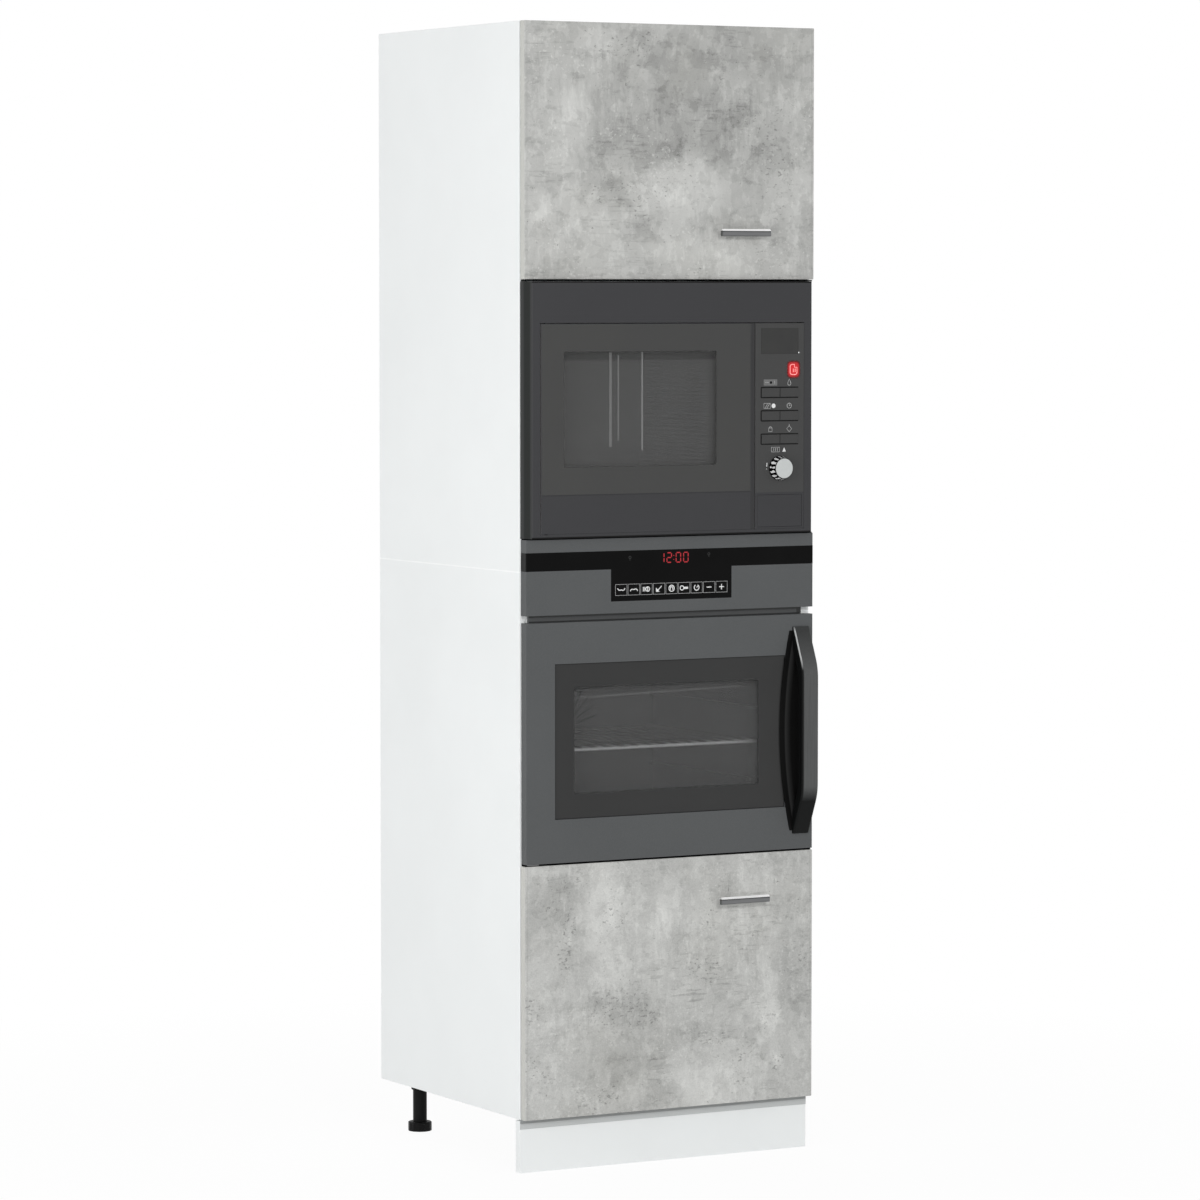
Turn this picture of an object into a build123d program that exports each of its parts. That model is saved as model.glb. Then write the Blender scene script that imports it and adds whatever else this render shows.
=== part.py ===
from build123d import *
import os
from math import cos, radians, sin

# A tall kitchen cabinet with a built-in microwave and a built-in oven between two hinged doors.
# Millimetres, +Z up from the floor, the fronts face -Y, and X is centred on the cabinet.

# Cabinet
cabinet_width = 600.0
cabinet_height = 2050.0
cabinet_depth = 570.0
board = 16.0
side_seam_below_shelf = 41.0
foot_height = 97.0
edge_round = 0.8

# Doors of the two cupboards
door_thickness = 16.0
lower_door_height = 455.0
upper_door_gap = 3.5
door_side_gap = 1.5
door_gap = 2.0
appliance_gap = 2.0

# Back panels, rails and the loose shelf
back_thickness = 3.0
back_inset = 10.0
groove_depth = 8.0
groove_play = 0.2
rail_height = 80.0
wall_hole_radius = 3.0
wall_hole_spacing = 400.0
loose_shelf_share = 0.483
loose_shelf_setback = 20.0
loose_shelf_play = 1.0
shelf_pin_radius = 2.5
shelf_pin_depth = 8.0
shelf_tongue_length = 7.0
shelf_tongue_width = 10.0
shelf_tongue_thickness = 4.0
shelf_pin_inset = 60.0

# Panel fittings
fit_play = 0.05
cam_radius = 7.5
cam_depth = 12.5
cam_inset = 34.0
bolt_radius = 2.5
bolt_depth = 11.0
bolt_channel_radius = 4.0
dowel_radius = 4.0
dowel_length = 30.0
dowel_in_side = 10.0
front_fitting_inset = 50.0
back_fitting_inset = 80.0
fitting_pitch = 32.0

# Plinth and feet
plinth_recess = 21.0
plinth_thickness = 16.0
plinth_top_gap = 3.0
foot_side_inset = 60.0
foot_back_inset = 42.0
foot_plinth_gap = 50.0
foot_base_radius = 22.0
foot_base_height = 17.0
foot_stem_radius = 13.0
foot_stud_radius = 9.95
socket_flange_radius = 27.0
socket_flange_thickness = 5.0
socket_collar_radius = 16.0
socket_collar_height = 14.0
clip_height = 20.0
clip_wall = 3.5
clip_low = 30.0
clip_pad_width = 40.0
clip_pad_thickness = 3.0

# Bar handles
bar_length = 101.0
bar_height = 13.0
bar_depth = 8.0
bar_bevel = 3.5
bar_post_spacing = 64.0
bar_post_radius = 4.0
bar_standoff = 18.0
bar_from_door_edge = 156.0
upper_bar_above_door_edge = 84.0
lower_bar_below_door_edge = 81.0
screw_radius = 2.0
screw_hole_radius = 2.25
screw_in_post = 8.0
screw_head_radius = 4.0
screw_head_height = 1.8

# Concealed hinges
hinge_end_share = 0.22
cup_edge_distance = 22.5
cup_radius = 17.5
cup_depth = 11.5
cup_wall = 1.3
cup_floor = 1.5
cup_ear_half_width = 10.0
cup_ear_half_length = 30.0
cup_ear_thickness = 1.2
arm_pin_from_side = 29.0
arm_pin_ahead = 7.5
arm_pin_radius = 1.2
arm_eye_radius = 2.4
arm_half_height = 6.2
arm_cheek = 2.0
arm_width = 13.0
arm_length = 66.0
arm_front_gap = 2.0
plate_thickness = 2.5
plate_front_gap = 20.0
plate_length = 55.0
plate_half_height = 24.0
link_length = 16.7
link_angle = 171.2
link_end_radius = 1.5
loose_gap = 0.3

# Oven
oven_proud = 2.0
oven_side_gap = 3.0
oven_above_shelf = 2.5
oven_shelf_above_door = 1.0
oven_door_height = 430.0
oven_door_clearance = 2.0
oven_fascia_gap = 13.0
oven_fascia_height = 135.0
fascia_wall = 2.0
fascia_front = 4.0
touch_glass_thickness = 3.0
touch_band_below_top = 23.0
touch_band_height = 33.0
touch_block_half_width = 125.0
touch_block_height = 57.5
oven_window_side_border = 58.0
oven_window_top_border = 74.0
oven_window_above_bottom = 78.0
oven_glass_thickness = 4.0
oven_glass_recess = 2.0
oven_glass_rebate = 19.0
oven_glass_play = 0.25
oven_pin_radius = 1.5
oven_pin_from_edge = 6.0
oven_pin_from_front = 5.0
oven_pin_length = 10.0
oven_bracket_thickness = 1.7
oven_case_side_gap = 6.0
oven_case_top_gap = 6.0
oven_case_back_gap = 24.6
sheet = 1.5
vent_width = 5.0
vent_length = 60.0
vent_pitch = 20.0
vent_row_pitch = 110.0
vent_count = 14
vent_rows = 2
oven_plate_side_gap = 1.0
oven_plate_bottom_gap = 0.5
oven_plate_top_gap = 3.5
oven_cavity_side_lagging = 73.0
oven_cavity_top_border = 50.5
oven_cavity_back_lagging = 90.0
oven_cavity_bottom_border = 49.5
oven_ledge_width = 8.0
oven_ledge_height = 5.0
oven_first_ledge_share = 1.2
oven_ledge_count = 3
rack_level = 1
rack_wire_radius = 3.0
rack_thin_radius = 1.5
rack_side_gap = 2.0
rack_front_gap = 18.0
rack_back_gap = 20.0
rack_wire_count = 13
bow_reach = 36.0
bow_above_bottom = 28.5
bow_below_top = 22.5
bow_from_edge = 25.5
bow_width = 35.0
bow_thickness = 13.0
bow_foot_length = 36.0
bow_end_lip = 3.0
bow_outer_slope = 75.0
bow_inner_slope = 52.0
bow_outer_bend = 90.0
bow_inner_bend = 70.0
bow_edge_round = 4.0

# Microwave
microwave_proud = 9.0
trim_side_gap = 2.0
trim_slope = 9.0
trim_rim = 4.0
trim_height = 456.0
trim_wall = 3.0
opening_left_border = 16.5
opening_right_border = 15.5
opening_above_bottom = 6.5
opening_top_border = 74.0
microwave_door_side_gap = 2.0
microwave_door_gap = 1.5
control_column_width = 105.0
microwave_door_back_gap = 3.0
microwave_door_front = 6.0
microwave_door_wall = 3.0
microwave_glass_thickness = 3.0
microwave_glass_edge = 1.0
microwave_glass_right_edge = 8.5
microwave_lower_band = 69.5
microwave_window_left_border = 43.5
microwave_window_right_border = 70.0
microwave_window_bottom_border = 47.5
microwave_window_top_border = 47.0
microwave_pin_radius = 1.5
microwave_pin_from_edge = 10.0
microwave_pin_from_front = 6.0
microwave_pin_length = 10.0
pin_boss_width = 14.0
pin_boss_depth = 11.0
pin_boss_height = 12.0
hook_height = 12.0
hook_reach = 5.0
hook_play = 2.5
hook_end_distance = 70.0
screen_thickness = 1.2
screen_play = 0.2
microwave_case_side_gap = 9.0
microwave_case_below_trim = 61.5
microwave_case_back_gap = 84.6
microwave_plate_edge = 1.0
microwave_cavity_left_border = 20.0
microwave_cavity_right_border = 23.5
microwave_cavity_bottom_border = 47.0
microwave_cavity_top_border = 40.0
microwave_cavity_back_gap = 80.0
control_gap = 2.0
control_front = 4.0
control_wall = 3.0
control_trim_gap = 0.5
display_side_border = 11.75
display_top_share = 0.024
display_height_share = 0.126
display_recess = 1.0
button_side_border = 13.0
button_middle_gap = 1.8
button_height_share = 0.044
button_rows = 3
button_row_share = 0.1134
button_first_row_share = 0.337
button_proud = 1.5
button_play = 0.3
button_length = 8.5
button_flange = 1.2
button_flange_thickness = 2.0
release_height_share = 0.156
release_side_border = 1.5
release_thickness = 12.0
release_stem_width = 45.0
release_stem_height = 30.0
release_stem_length = 10.0
knob_share = 0.706
knob_radius = 22.5
knob_face_radius = 18.6
knob_length = 16.0
knob_panel_gap = 0.4
knob_shaft_radius = 3.0
knob_shaft_length = 14.0
turntable_edge_gap = 44.0
turntable_thickness = 5.5
ring_share = 0.7
ring_width = 6.0
ring_thickness = 3.0
roller_radius = 6.0
roller_width = 5.0
roller_count = 3
roller_gap = 0.3

# Planes and heights that follow from the sizes above
total_depth = cabinet_depth + oven_proud + bow_reach
carcass_back = total_depth / 2
door_front = carcass_back - cabinet_depth
door_back = door_front + door_thickness
carcass_front = door_back + door_gap
half_width = cabinet_width / 2
inner_half = half_width - board
door_half_width = half_width - door_side_gap
groove_back = carcass_back - back_inset
groove_front = groove_back - back_thickness - 2 * groove_play
carcass_bottom = foot_height
lower_door_bottom = carcass_bottom
lower_door_top = lower_door_bottom + lower_door_height
oven_shelf_top = lower_door_top + oven_shelf_above_door
oven_front = door_front - oven_proud
oven_door_bottom = oven_shelf_top + oven_above_shelf
oven_door_top = oven_door_bottom + oven_door_height
oven_door_back = carcass_front - oven_door_clearance
fascia_bottom = oven_door_top + oven_fascia_gap
fascia_top = fascia_bottom + oven_fascia_height
microwave_shelf_top = fascia_top - oven_shelf_above_door / 2
trim_bottom = fascia_top + appliance_gap
trim_top = trim_bottom + trim_height
microwave_front = door_front - microwave_proud
upper_door_bottom = trim_top + upper_door_gap
upper_door_height = cabinet_height - upper_door_bottom
upper_floor_bottom = trim_top + oven_shelf_above_door
top_board_bottom = cabinet_height - board
board_bottoms = {
    "bottom_panel": carcass_bottom,
    "oven_shelf": oven_shelf_top - board,
    "microwave_shelf": microwave_shelf_top - board,
    "upper_floor": upper_floor_bottom,
    "top_panel": top_board_bottom,
}
cam_rows = (carcass_front + front_fitting_inset, carcass_back - back_fitting_inset)
dowel_rows = (cam_rows[0] + fitting_pitch, cam_rows[1] - fitting_pitch)
seam_dowel_rows = (cam_rows[0], (cam_rows[0] + cam_rows[1]) / 2, cam_rows[1])
seam_dowel_x = half_width - board / 2
side_seam_height = board_bottoms["microwave_shelf"] - side_seam_below_shelf
lower_cupboard_floor = carcass_bottom + board
lower_cupboard_height = board_bottoms["oven_shelf"] - lower_cupboard_floor
loose_shelf_height = lower_cupboard_floor + loose_shelf_share * lower_cupboard_height
pin_rows = (carcass_front + shelf_pin_inset + loose_shelf_setback, groove_front - shelf_pin_inset)
shelf_pin_z = loose_shelf_height - shelf_tongue_thickness / 2
rail_back = groove_front
rail_front = rail_back - board
rail_tops = (board_bottoms["microwave_shelf"], upper_floor_bottom, top_board_bottom)

os.makedirs("parts", exist_ok=True)


def box_between(x_limits, y_limits, z_limits, mode=Mode.ADD):
    """A box between a low and a high limit along each axis."""
    limits = [sorted(pair) for pair in (x_limits, y_limits, z_limits)]
    middle = tuple((low + high) / 2 for low, high in limits)
    with Locations(middle):
        Box(*[high - low for low, high in limits], mode=mode)


def rod_x(y, z, radius, x_limits, mode=Mode.ADD):
    """A round bar along X."""
    low, high = sorted(x_limits)
    with Locations(((low + high) / 2, y, z)):
        Cylinder(radius, high - low, rotation=(0, 90, 0), mode=mode)


def rod_y(x, z, radius, y_limits, mode=Mode.ADD):
    """A round bar along Y."""
    low, high = sorted(y_limits)
    with Locations((x, (low + high) / 2, z)):
        Cylinder(radius, high - low, rotation=(90, 0, 0), mode=mode)


def rod_z(x, y, radius, z_limits, mode=Mode.ADD):
    """A round bar along Z."""
    low, high = sorted(z_limits)
    with Locations((x, y, (low + high) / 2)):
        Cylinder(radius, high - low, mode=mode)


def finish(piece, name):
    """Labels a finished piece and writes it to its own file."""
    piece.part.label = name
    export_step(piece.part, f"parts/{name}.step")


# Side panels: each side is two boards, one above the other, doweled at the seam.
def side_panel(name, hand, bottom, top):
    inner = hand * inner_half
    outer = hand * half_width
    with BuildPart() as panel:
        box_between((inner, outer), (carcass_front, carcass_back), (bottom, top))
        outer_edges = panel.edges().group_by(Axis.X)[-1 if hand > 0 else 0]
        chamfer(outer_edges, edge_round / 2)
        groove_floor = inner + hand * groove_depth
        box_between((inner, groove_floor), (groove_front, groove_back), (bottom, top), Mode.SUBTRACT)
        for board_bottom in board_bottoms.values():
            middle = board_bottom + board / 2
            if bottom < middle < top:
                for y in cam_rows:
                    rod_x(y, middle, bolt_radius, (inner, inner + hand * bolt_depth), Mode.SUBTRACT)
                for y in dowel_rows:
                    hole_end = inner + hand * (dowel_in_side + fit_play)
                    rod_x(y, middle, dowel_radius, (inner, hole_end), Mode.SUBTRACT)
        if bottom < shelf_pin_z < top:
            for y in pin_rows:
                hole_end = inner + hand * (shelf_pin_depth + fit_play)
                rod_x(y, shelf_pin_z, shelf_pin_radius, (inner, hole_end), Mode.SUBTRACT)
        seam_hole = dowel_length / 2 + fit_play
        for y in seam_dowel_rows:
            hole = (side_seam_height - seam_hole, side_seam_height + seam_hole)
            rod_z(hand * seam_dowel_x, y, dowel_radius, hole, Mode.SUBTRACT)
    finish(panel, name)


for side_name, side_hand in (("left", -1), ("right", 1)):
    side_panel(f"side_{side_name}_lower", side_hand, carcass_bottom, side_seam_height)
    side_panel(f"side_{side_name}_upper", side_hand, side_seam_height, cabinet_height)


# Fixed boards between the sides, drilled in both ends for cam bolts and dowels.
def fixed_board(name, back_edge, groove):
    bottom = board_bottoms[name]
    top = bottom + board
    middle = bottom + board / 2
    with BuildPart() as panel:
        box_between((-inner_half, inner_half), (carcass_front, back_edge), (bottom, top))
        if groove:
            box_between((-inner_half, inner_half), (groove_front, groove_back), groove, Mode.SUBTRACT)
        for hand in (-1, 1):
            end = hand * inner_half
            for y in cam_rows:
                rod_x(y, middle, bolt_channel_radius, (end, end - hand * cam_inset), Mode.SUBTRACT)
                rod_z(end - hand * cam_inset, y, cam_radius, (bottom, bottom + cam_depth), Mode.SUBTRACT)
            for y in dowel_rows:
                depth = dowel_length - dowel_in_side + fit_play
                rod_x(y, middle, dowel_radius, (end, end - hand * depth), Mode.SUBTRACT)
    finish(panel, name)


fixed_board("bottom_panel", carcass_back, (carcass_bottom + board - groove_depth, carcass_bottom + board))
fixed_board("oven_shelf", groove_front, None)
fixed_board("microwave_shelf", groove_front, None)
fixed_board("upper_floor", groove_front, None)
fixed_board("top_panel", carcass_back, (top_board_bottom, top_board_bottom + groove_depth))

# Cam locks and their bolts, which pull every fixed board against the sides.
with BuildPart() as cam_fittings:
    for board_bottom in board_bottoms.values():
        for hand in (-1, 1):
            end = hand * inner_half
            for y in cam_rows:
                cam_x = end - hand * cam_inset
                cam_z = (board_bottom, board_bottom + cam_depth - fit_play)
                rod_z(cam_x, y, cam_radius - 2 * fit_play, cam_z)
                bolt_ends = (end + hand * (bolt_depth - fit_play), cam_x + hand * (cam_radius + fit_play))
                rod_x(y, board_bottom + board / 2, bolt_radius - fit_play, bolt_ends)
finish(cam_fittings, "cam_fittings")

# Beech dowels in the board ends and across the seam of each side.
with BuildPart() as dowels:
    for hand in (-1, 1):
        end = hand * inner_half
        for board_bottom in board_bottoms.values():
            for y in dowel_rows:
                dowel_ends = (end + hand * dowel_in_side, end - hand * (dowel_length - dowel_in_side))
                rod_x(y, board_bottom + board / 2, dowel_radius - fit_play, dowel_ends)
        for y in seam_dowel_rows:
            seam_ends = (side_seam_height - dowel_length / 2, side_seam_height + dowel_length / 2)
            rod_z(hand * seam_dowel_x, y, dowel_radius - fit_play, seam_ends)
finish(dowels, "dowels")

# Thin back panels close the two cupboards, and the appliance niches stay open for air.
back_limits = (groove_front + groove_play, groove_back - groove_play)
back_half_width = inner_half + groove_depth - 1
with BuildPart() as lower_back_panel:
    lower_back_height = (carcass_bottom + board - groove_depth, oven_shelf_top)
    box_between((-back_half_width, back_half_width), back_limits, lower_back_height)
finish(lower_back_panel, "lower_back_panel")

with BuildPart() as upper_back_panel:
    upper_back_height = (upper_floor_bottom, top_board_bottom + groove_depth - groove_play)
    box_between((-back_half_width, back_half_width), back_limits, upper_back_height)
    for x in (-wall_hole_spacing / 2, wall_hole_spacing / 2):
        rod_y(x, rail_tops[2] - rail_height / 2, wall_hole_radius, back_limits, Mode.SUBTRACT)
finish(upper_back_panel, "upper_back_panel")

# Three equal rails stiffen the back, each with two holes for screws into the wall.
with BuildPart() as back_rails:
    rail_limits = (rail_front, rail_back)
    for rail_top in rail_tops:
        box_between((-inner_half, inner_half), rail_limits, (rail_top - rail_height, rail_top))
        for x in (-wall_hole_spacing / 2, wall_hole_spacing / 2):
            rod_y(x, rail_top - rail_height / 2, wall_hole_radius, rail_limits, Mode.SUBTRACT)
finish(back_rails, "back_rails")

# The loose shelf of the lower cupboard, on four plug-in pins.
with BuildPart() as loose_shelf:
    shelf_half = inner_half - loose_shelf_play
    shelf_depth = (carcass_front + loose_shelf_setback, groove_front)
    box_between((-shelf_half, shelf_half), shelf_depth, (loose_shelf_height, loose_shelf_height + board))
finish(loose_shelf, "loose_shelf")

with BuildPart() as shelf_pins:
    for hand in (-1, 1):
        wall = hand * inner_half
        for y in pin_rows:
            rod_x(y, shelf_pin_z, shelf_pin_radius - fit_play, (wall, wall + hand * shelf_pin_depth))
            tongue_y = (y - shelf_tongue_width / 2, y + shelf_tongue_width / 2)
            tongue_z = (loose_shelf_height - shelf_tongue_thickness, loose_shelf_height)
            box_between((wall, wall - hand * shelf_tongue_length), tongue_y, tongue_z)
finish(shelf_pins, "shelf_pins")

# Plinth board, which stands on the floor and clips to the front feet.
plinth_front = door_front + plinth_recess
plinth_back = plinth_front + plinth_thickness
plinth_height = foot_height - plinth_top_gap
with BuildPart() as plinth_board:
    box_between((-door_half_width, door_half_width), (plinth_front, plinth_back), (0, plinth_height))
    chamfer(plinth_board.edges().filter_by(Axis.Z), edge_round / 2)
finish(plinth_board, "plinth_board")

# Four screw feet: a socket under the bottom board and a stem that turns in it.
foot_x = half_width - foot_side_inset
front_foot_y = plinth_back + foot_plinth_gap
back_foot_y = carcass_back - foot_back_inset
feet = {
    "foot_front_left": (-foot_x, front_foot_y),
    "foot_front_right": (foot_x, front_foot_y),
    "foot_back_left": (-foot_x, back_foot_y),
    "foot_back_right": (foot_x, back_foot_y),
}
flange_bottom = carcass_bottom - socket_flange_thickness
collar_bottom = flange_bottom - socket_collar_height
with BuildPart() as foot_sockets:
    for x, y in feet.values():
        rod_z(x, y, socket_flange_radius, (flange_bottom, carcass_bottom))
        rod_z(x, y, socket_collar_radius, (collar_bottom, flange_bottom))
        rod_z(x, y, foot_stud_radius + fit_play, (collar_bottom, flange_bottom + fit_play), Mode.SUBTRACT)
finish(foot_sockets, "foot_sockets")

for foot_name, (x, y) in feet.items():
    with BuildPart() as foot:
        with BuildSketch():
            with Locations((x, y)):
                RegularPolygon(foot_base_radius, side_count=12)
        extrude(amount=foot_base_height)
        chamfer(foot.edges().group_by(Axis.Z)[-1], edge_round)
        stem_top = collar_bottom - loose_gap
        rod_z(x, y, foot_stem_radius, (foot_base_height, stem_top))
        rod_z(x, y, foot_stud_radius, (stem_top, flange_bottom - loose_gap))
    finish(foot, foot_name)

# Clips that snap round the front stems and are screwed to the back of the plinth.
with BuildPart() as plinth_clips:
    clip_z = (clip_low, clip_low + clip_height)
    clip_inner = foot_stem_radius + loose_gap
    clip_outer = clip_inner + clip_wall
    for x in (-foot_x, foot_x):
        rod_z(x, front_foot_y, clip_outer, clip_z)
        arm_half = clip_wall * 2
        box_between((x - arm_half, x + arm_half), (plinth_back, front_foot_y - clip_inner), clip_z)
        rod_z(x, front_foot_y, clip_inner, clip_z, Mode.SUBTRACT)
        mouth = (x - clip_inner * sin(radians(50)), x + clip_inner * sin(radians(50)))
        box_between(mouth, (front_foot_y, front_foot_y + clip_outer), clip_z, Mode.SUBTRACT)
        pad_half = clip_pad_width / 2
        box_between((x - pad_half, x + pad_half), (plinth_back, plinth_back + clip_pad_thickness), clip_z)
finish(plinth_clips, "plinth_clips")


# Cupboard doors with their bar handles and the door halves of the concealed hinges.
cup_x = -door_half_width + cup_edge_distance
bar_centre_x = door_half_width - bar_from_door_edge
post_xs = (bar_centre_x - bar_post_spacing / 2, bar_centre_x + bar_post_spacing / 2)
bar_back = door_front - bar_standoff
bar_front = bar_back - bar_depth
arm_pin_x = -half_width + arm_pin_from_side
arm_pin_y = carcass_front - arm_pin_ahead


def cabinet_door(name, bottom, top, handle_z, hinge_heights):
    with BuildPart() as panel:
        box_between((-door_half_width, door_half_width), (door_front, door_back), (bottom, top))
        fillet(panel.edges(), edge_round)
        for z in hinge_heights:
            rod_y(cup_x, z, cup_radius, (door_back - cup_depth - fit_play, door_back), Mode.SUBTRACT)
        for x in post_xs:
            rod_y(x, handle_z, screw_hole_radius, (door_front, door_back), Mode.SUBTRACT)
    finish(panel, f"{name}_door")


def bar_handle(name, handle_z):
    low, high = handle_z - bar_height / 2, handle_z + bar_height / 2
    with BuildPart() as handle:
        ends = (bar_centre_x - bar_length / 2, bar_centre_x + bar_length / 2)
        box_between(ends, (bar_front, bar_back), (low, high))
        front_edges = handle.edges().filter_by(Axis.X).group_by(Axis.Y)[0].sort_by(Axis.Z)
        chamfer(front_edges[-1], bar_bevel)
        chamfer(front_edges[0], edge_round * 2)
        for x in post_xs:
            rod_y(x, handle_z, bar_post_radius, (bar_back, door_front))
            thread_end = door_front - screw_in_post - fit_play
            rod_y(x, handle_z, screw_radius + fit_play, (thread_end, door_front), Mode.SUBTRACT)
    finish(handle, f"{name}_handle")


def handle_screws(name, handle_z):
    with BuildPart() as screws:
        for x in post_xs:
            rod_y(x, handle_z, screw_radius, (door_front - screw_in_post, door_back))
            rod_y(x, handle_z, screw_head_radius, (door_back, door_back + screw_head_height))
    finish(screws, f"{name}_handle_screws")


def hinge_cups(name, hinge_heights):
    with BuildPart() as cups:
        for z in hinge_heights:
            rod_y(cup_x, z, cup_radius - 2 * fit_play, (door_back - cup_depth, door_back))
            ear_x = (cup_x - cup_ear_half_width, cup_x + cup_ear_half_width)
            ear_z = (z - cup_ear_half_length, z + cup_ear_half_length)
            box_between(ear_x, (door_back, door_back + cup_ear_thickness), ear_z)
            pocket = (door_back - cup_depth + cup_floor, door_back + cup_ear_thickness)
            rod_y(cup_x, z, cup_radius - cup_wall, pocket, Mode.SUBTRACT)
    finish(cups, f"{name}_hinge_cups")


def hinge_links(name, hinge_heights):
    link_half = arm_half_height - arm_cheek - loose_gap
    end_x = arm_pin_x + link_length * cos(radians(link_angle))
    end_y = arm_pin_y + link_length * sin(radians(link_angle))
    with BuildPart() as links:
        for z in hinge_heights:
            with BuildSketch(Plane.XY.offset(z - link_half)):
                with Locations((arm_pin_x, arm_pin_y)):
                    Circle(arm_eye_radius)
                with Locations((end_x, end_y)):
                    Circle(link_end_radius)
                make_hull()
                with Locations((arm_pin_x, arm_pin_y)):
                    Circle(arm_pin_radius + fit_play, mode=Mode.SUBTRACT)
            extrude(amount=2 * link_half)
    finish(links, f"{name}_hinge_links")


cupboards = {
    "upper": (upper_door_bottom, upper_door_height, upper_door_bottom + upper_bar_above_door_edge),
    "lower": (lower_door_bottom, lower_door_height, lower_door_top - lower_bar_below_door_edge),
}
all_hinge_heights = []
for cupboard, (bottom, height, handle_z) in cupboards.items():
    end_distance = hinge_end_share * height
    hinge_heights = (bottom + end_distance, bottom + height - end_distance)
    all_hinge_heights.extend(hinge_heights)
    cabinet_door(cupboard, bottom, bottom + height, handle_z, hinge_heights)
    bar_handle(cupboard, handle_z)
    handle_screws(cupboard, handle_z)
    hinge_cups(cupboard, hinge_heights)
    hinge_links(cupboard, hinge_heights)

# Hinge arms on the left side: a plate screwed to the board, the arm, and the pin of its link.
with BuildPart() as hinge_arms:
    for z in all_hinge_heights:
        plate_y = carcass_front + plate_front_gap
        plate_x = (-inner_half, -inner_half + plate_thickness)
        plate_z = (z - plate_half_height, z + plate_half_height)
        box_between(plate_x, (plate_y, plate_y + plate_length), plate_z)
        arm_x = (plate_x[1], plate_x[1] + arm_width)
        arm_y = (carcass_front + arm_front_gap, carcass_front + arm_front_gap + arm_length)
        box_between(arm_x, arm_y, (z - arm_half_height, z + arm_half_height))
        for cheek_bottom in (z - arm_half_height, z + arm_half_height - arm_cheek):
            with BuildSketch(Plane.XY.offset(cheek_bottom)):
                with Locations((arm_pin_x, arm_pin_y)):
                    Circle(arm_eye_radius)
                with Locations(((arm_x[0] + arm_x[1]) / 2, arm_y[0] + arm_cheek)):
                    Rectangle(arm_width, 2 * arm_cheek)
                make_hull()
            extrude(amount=arm_cheek)
        rod_z(arm_pin_x, arm_pin_y, arm_pin_radius, (z - arm_half_height, z + arm_half_height))
finish(hinge_arms, "hinge_arms")

# Rows of cooling slots, pressed through the back sheet of both appliances.
def vents(middle_z, back):
    with BuildSketch(Plane.XZ.offset(-back)) as slots:
        with Locations((0, middle_z)):
            with GridLocations(vent_pitch, vent_row_pitch, vent_count, vent_rows):
                SlotOverall(vent_length, vent_width, rotation=90)
    extrude(slots.sketch, amount=2 * sheet, both=True, mode=Mode.SUBTRACT)


# Oven body: a sheet case on the shelf, and a cavity with its front plate and pressed rack ledges.
plate_back = carcass_front + sheet
oven_case_half = inner_half - oven_case_side_gap
oven_case_top = board_bottoms["microwave_shelf"] - oven_case_top_gap
oven_case_back = rail_front - oven_case_back_gap
with BuildPart() as oven_case:
    case_x = (-oven_case_half, oven_case_half)
    box_between(case_x, (plate_back, oven_case_back), (oven_shelf_top, oven_case_top))
    hollow_x = (-oven_case_half + sheet, oven_case_half - sheet)
    hollow_z = (oven_shelf_top + sheet, oven_case_top - sheet)
    box_between(hollow_x, (plate_back, oven_case_back - sheet), hollow_z, Mode.SUBTRACT)
    vents((oven_shelf_top + oven_case_top) / 2, oven_case_back)
finish(oven_case, "oven_case")

oven_half = half_width - oven_side_gap
inside_half = oven_case_half - oven_cavity_side_lagging
cavity_bottom = oven_door_bottom + oven_cavity_bottom_border
cavity_top = oven_door_top - oven_cavity_top_border
cavity_back = oven_case_back - oven_cavity_back_lagging
ledge_pitch = (cavity_top - cavity_bottom) / (oven_ledge_count + 2)
first_ledge = cavity_bottom + oven_first_ledge_share * ledge_pitch
ledge_tops = [first_ledge + row * ledge_pitch for row in range(oven_ledge_count)]
oven_pin_x = -oven_half + oven_pin_from_edge
oven_pin_y = oven_front + oven_pin_from_front
with BuildPart() as oven_cavity:
    plate_z = (oven_shelf_top + oven_plate_bottom_gap, oven_case_top - oven_plate_top_gap)
    plate_half = inner_half - oven_plate_side_gap
    box_between((-plate_half, plate_half), (carcass_front, plate_back), plate_z)
    liner_half = inside_half + sheet
    liner_z = (cavity_bottom - sheet, cavity_top + sheet)
    box_between((-liner_half, liner_half), (carcass_front, cavity_back + sheet), liner_z)
    inside_y = (carcass_front, cavity_back)
    box_between((-inside_half, inside_half), inside_y, (cavity_bottom, cavity_top), Mode.SUBTRACT)
    for ledge_top in ledge_tops:
        for hand in (-1, 1):
            ledge_x = (hand * inside_half, hand * (inside_half - oven_ledge_width))
            ledge_y = (carcass_front + oven_ledge_width, cavity_back)
            box_between(ledge_x, ledge_y, (ledge_top - oven_ledge_height, ledge_top))
    bracket_top = oven_door_bottom - 2 * fit_play
    bracket_bottom = bracket_top - oven_bracket_thickness
    bracket_x = (oven_pin_x - oven_pin_from_edge / 2, -plate_half + 2 * oven_pin_from_edge)
    bracket_y = (oven_pin_y - 2 * oven_pin_radius, carcass_front)
    box_between(bracket_x, bracket_y, (bracket_bottom, bracket_top))
    rod_z(oven_pin_x, oven_pin_y, oven_pin_radius, (bracket_bottom, oven_door_bottom + oven_pin_length))
finish(oven_cavity, "oven_cavity")

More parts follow.
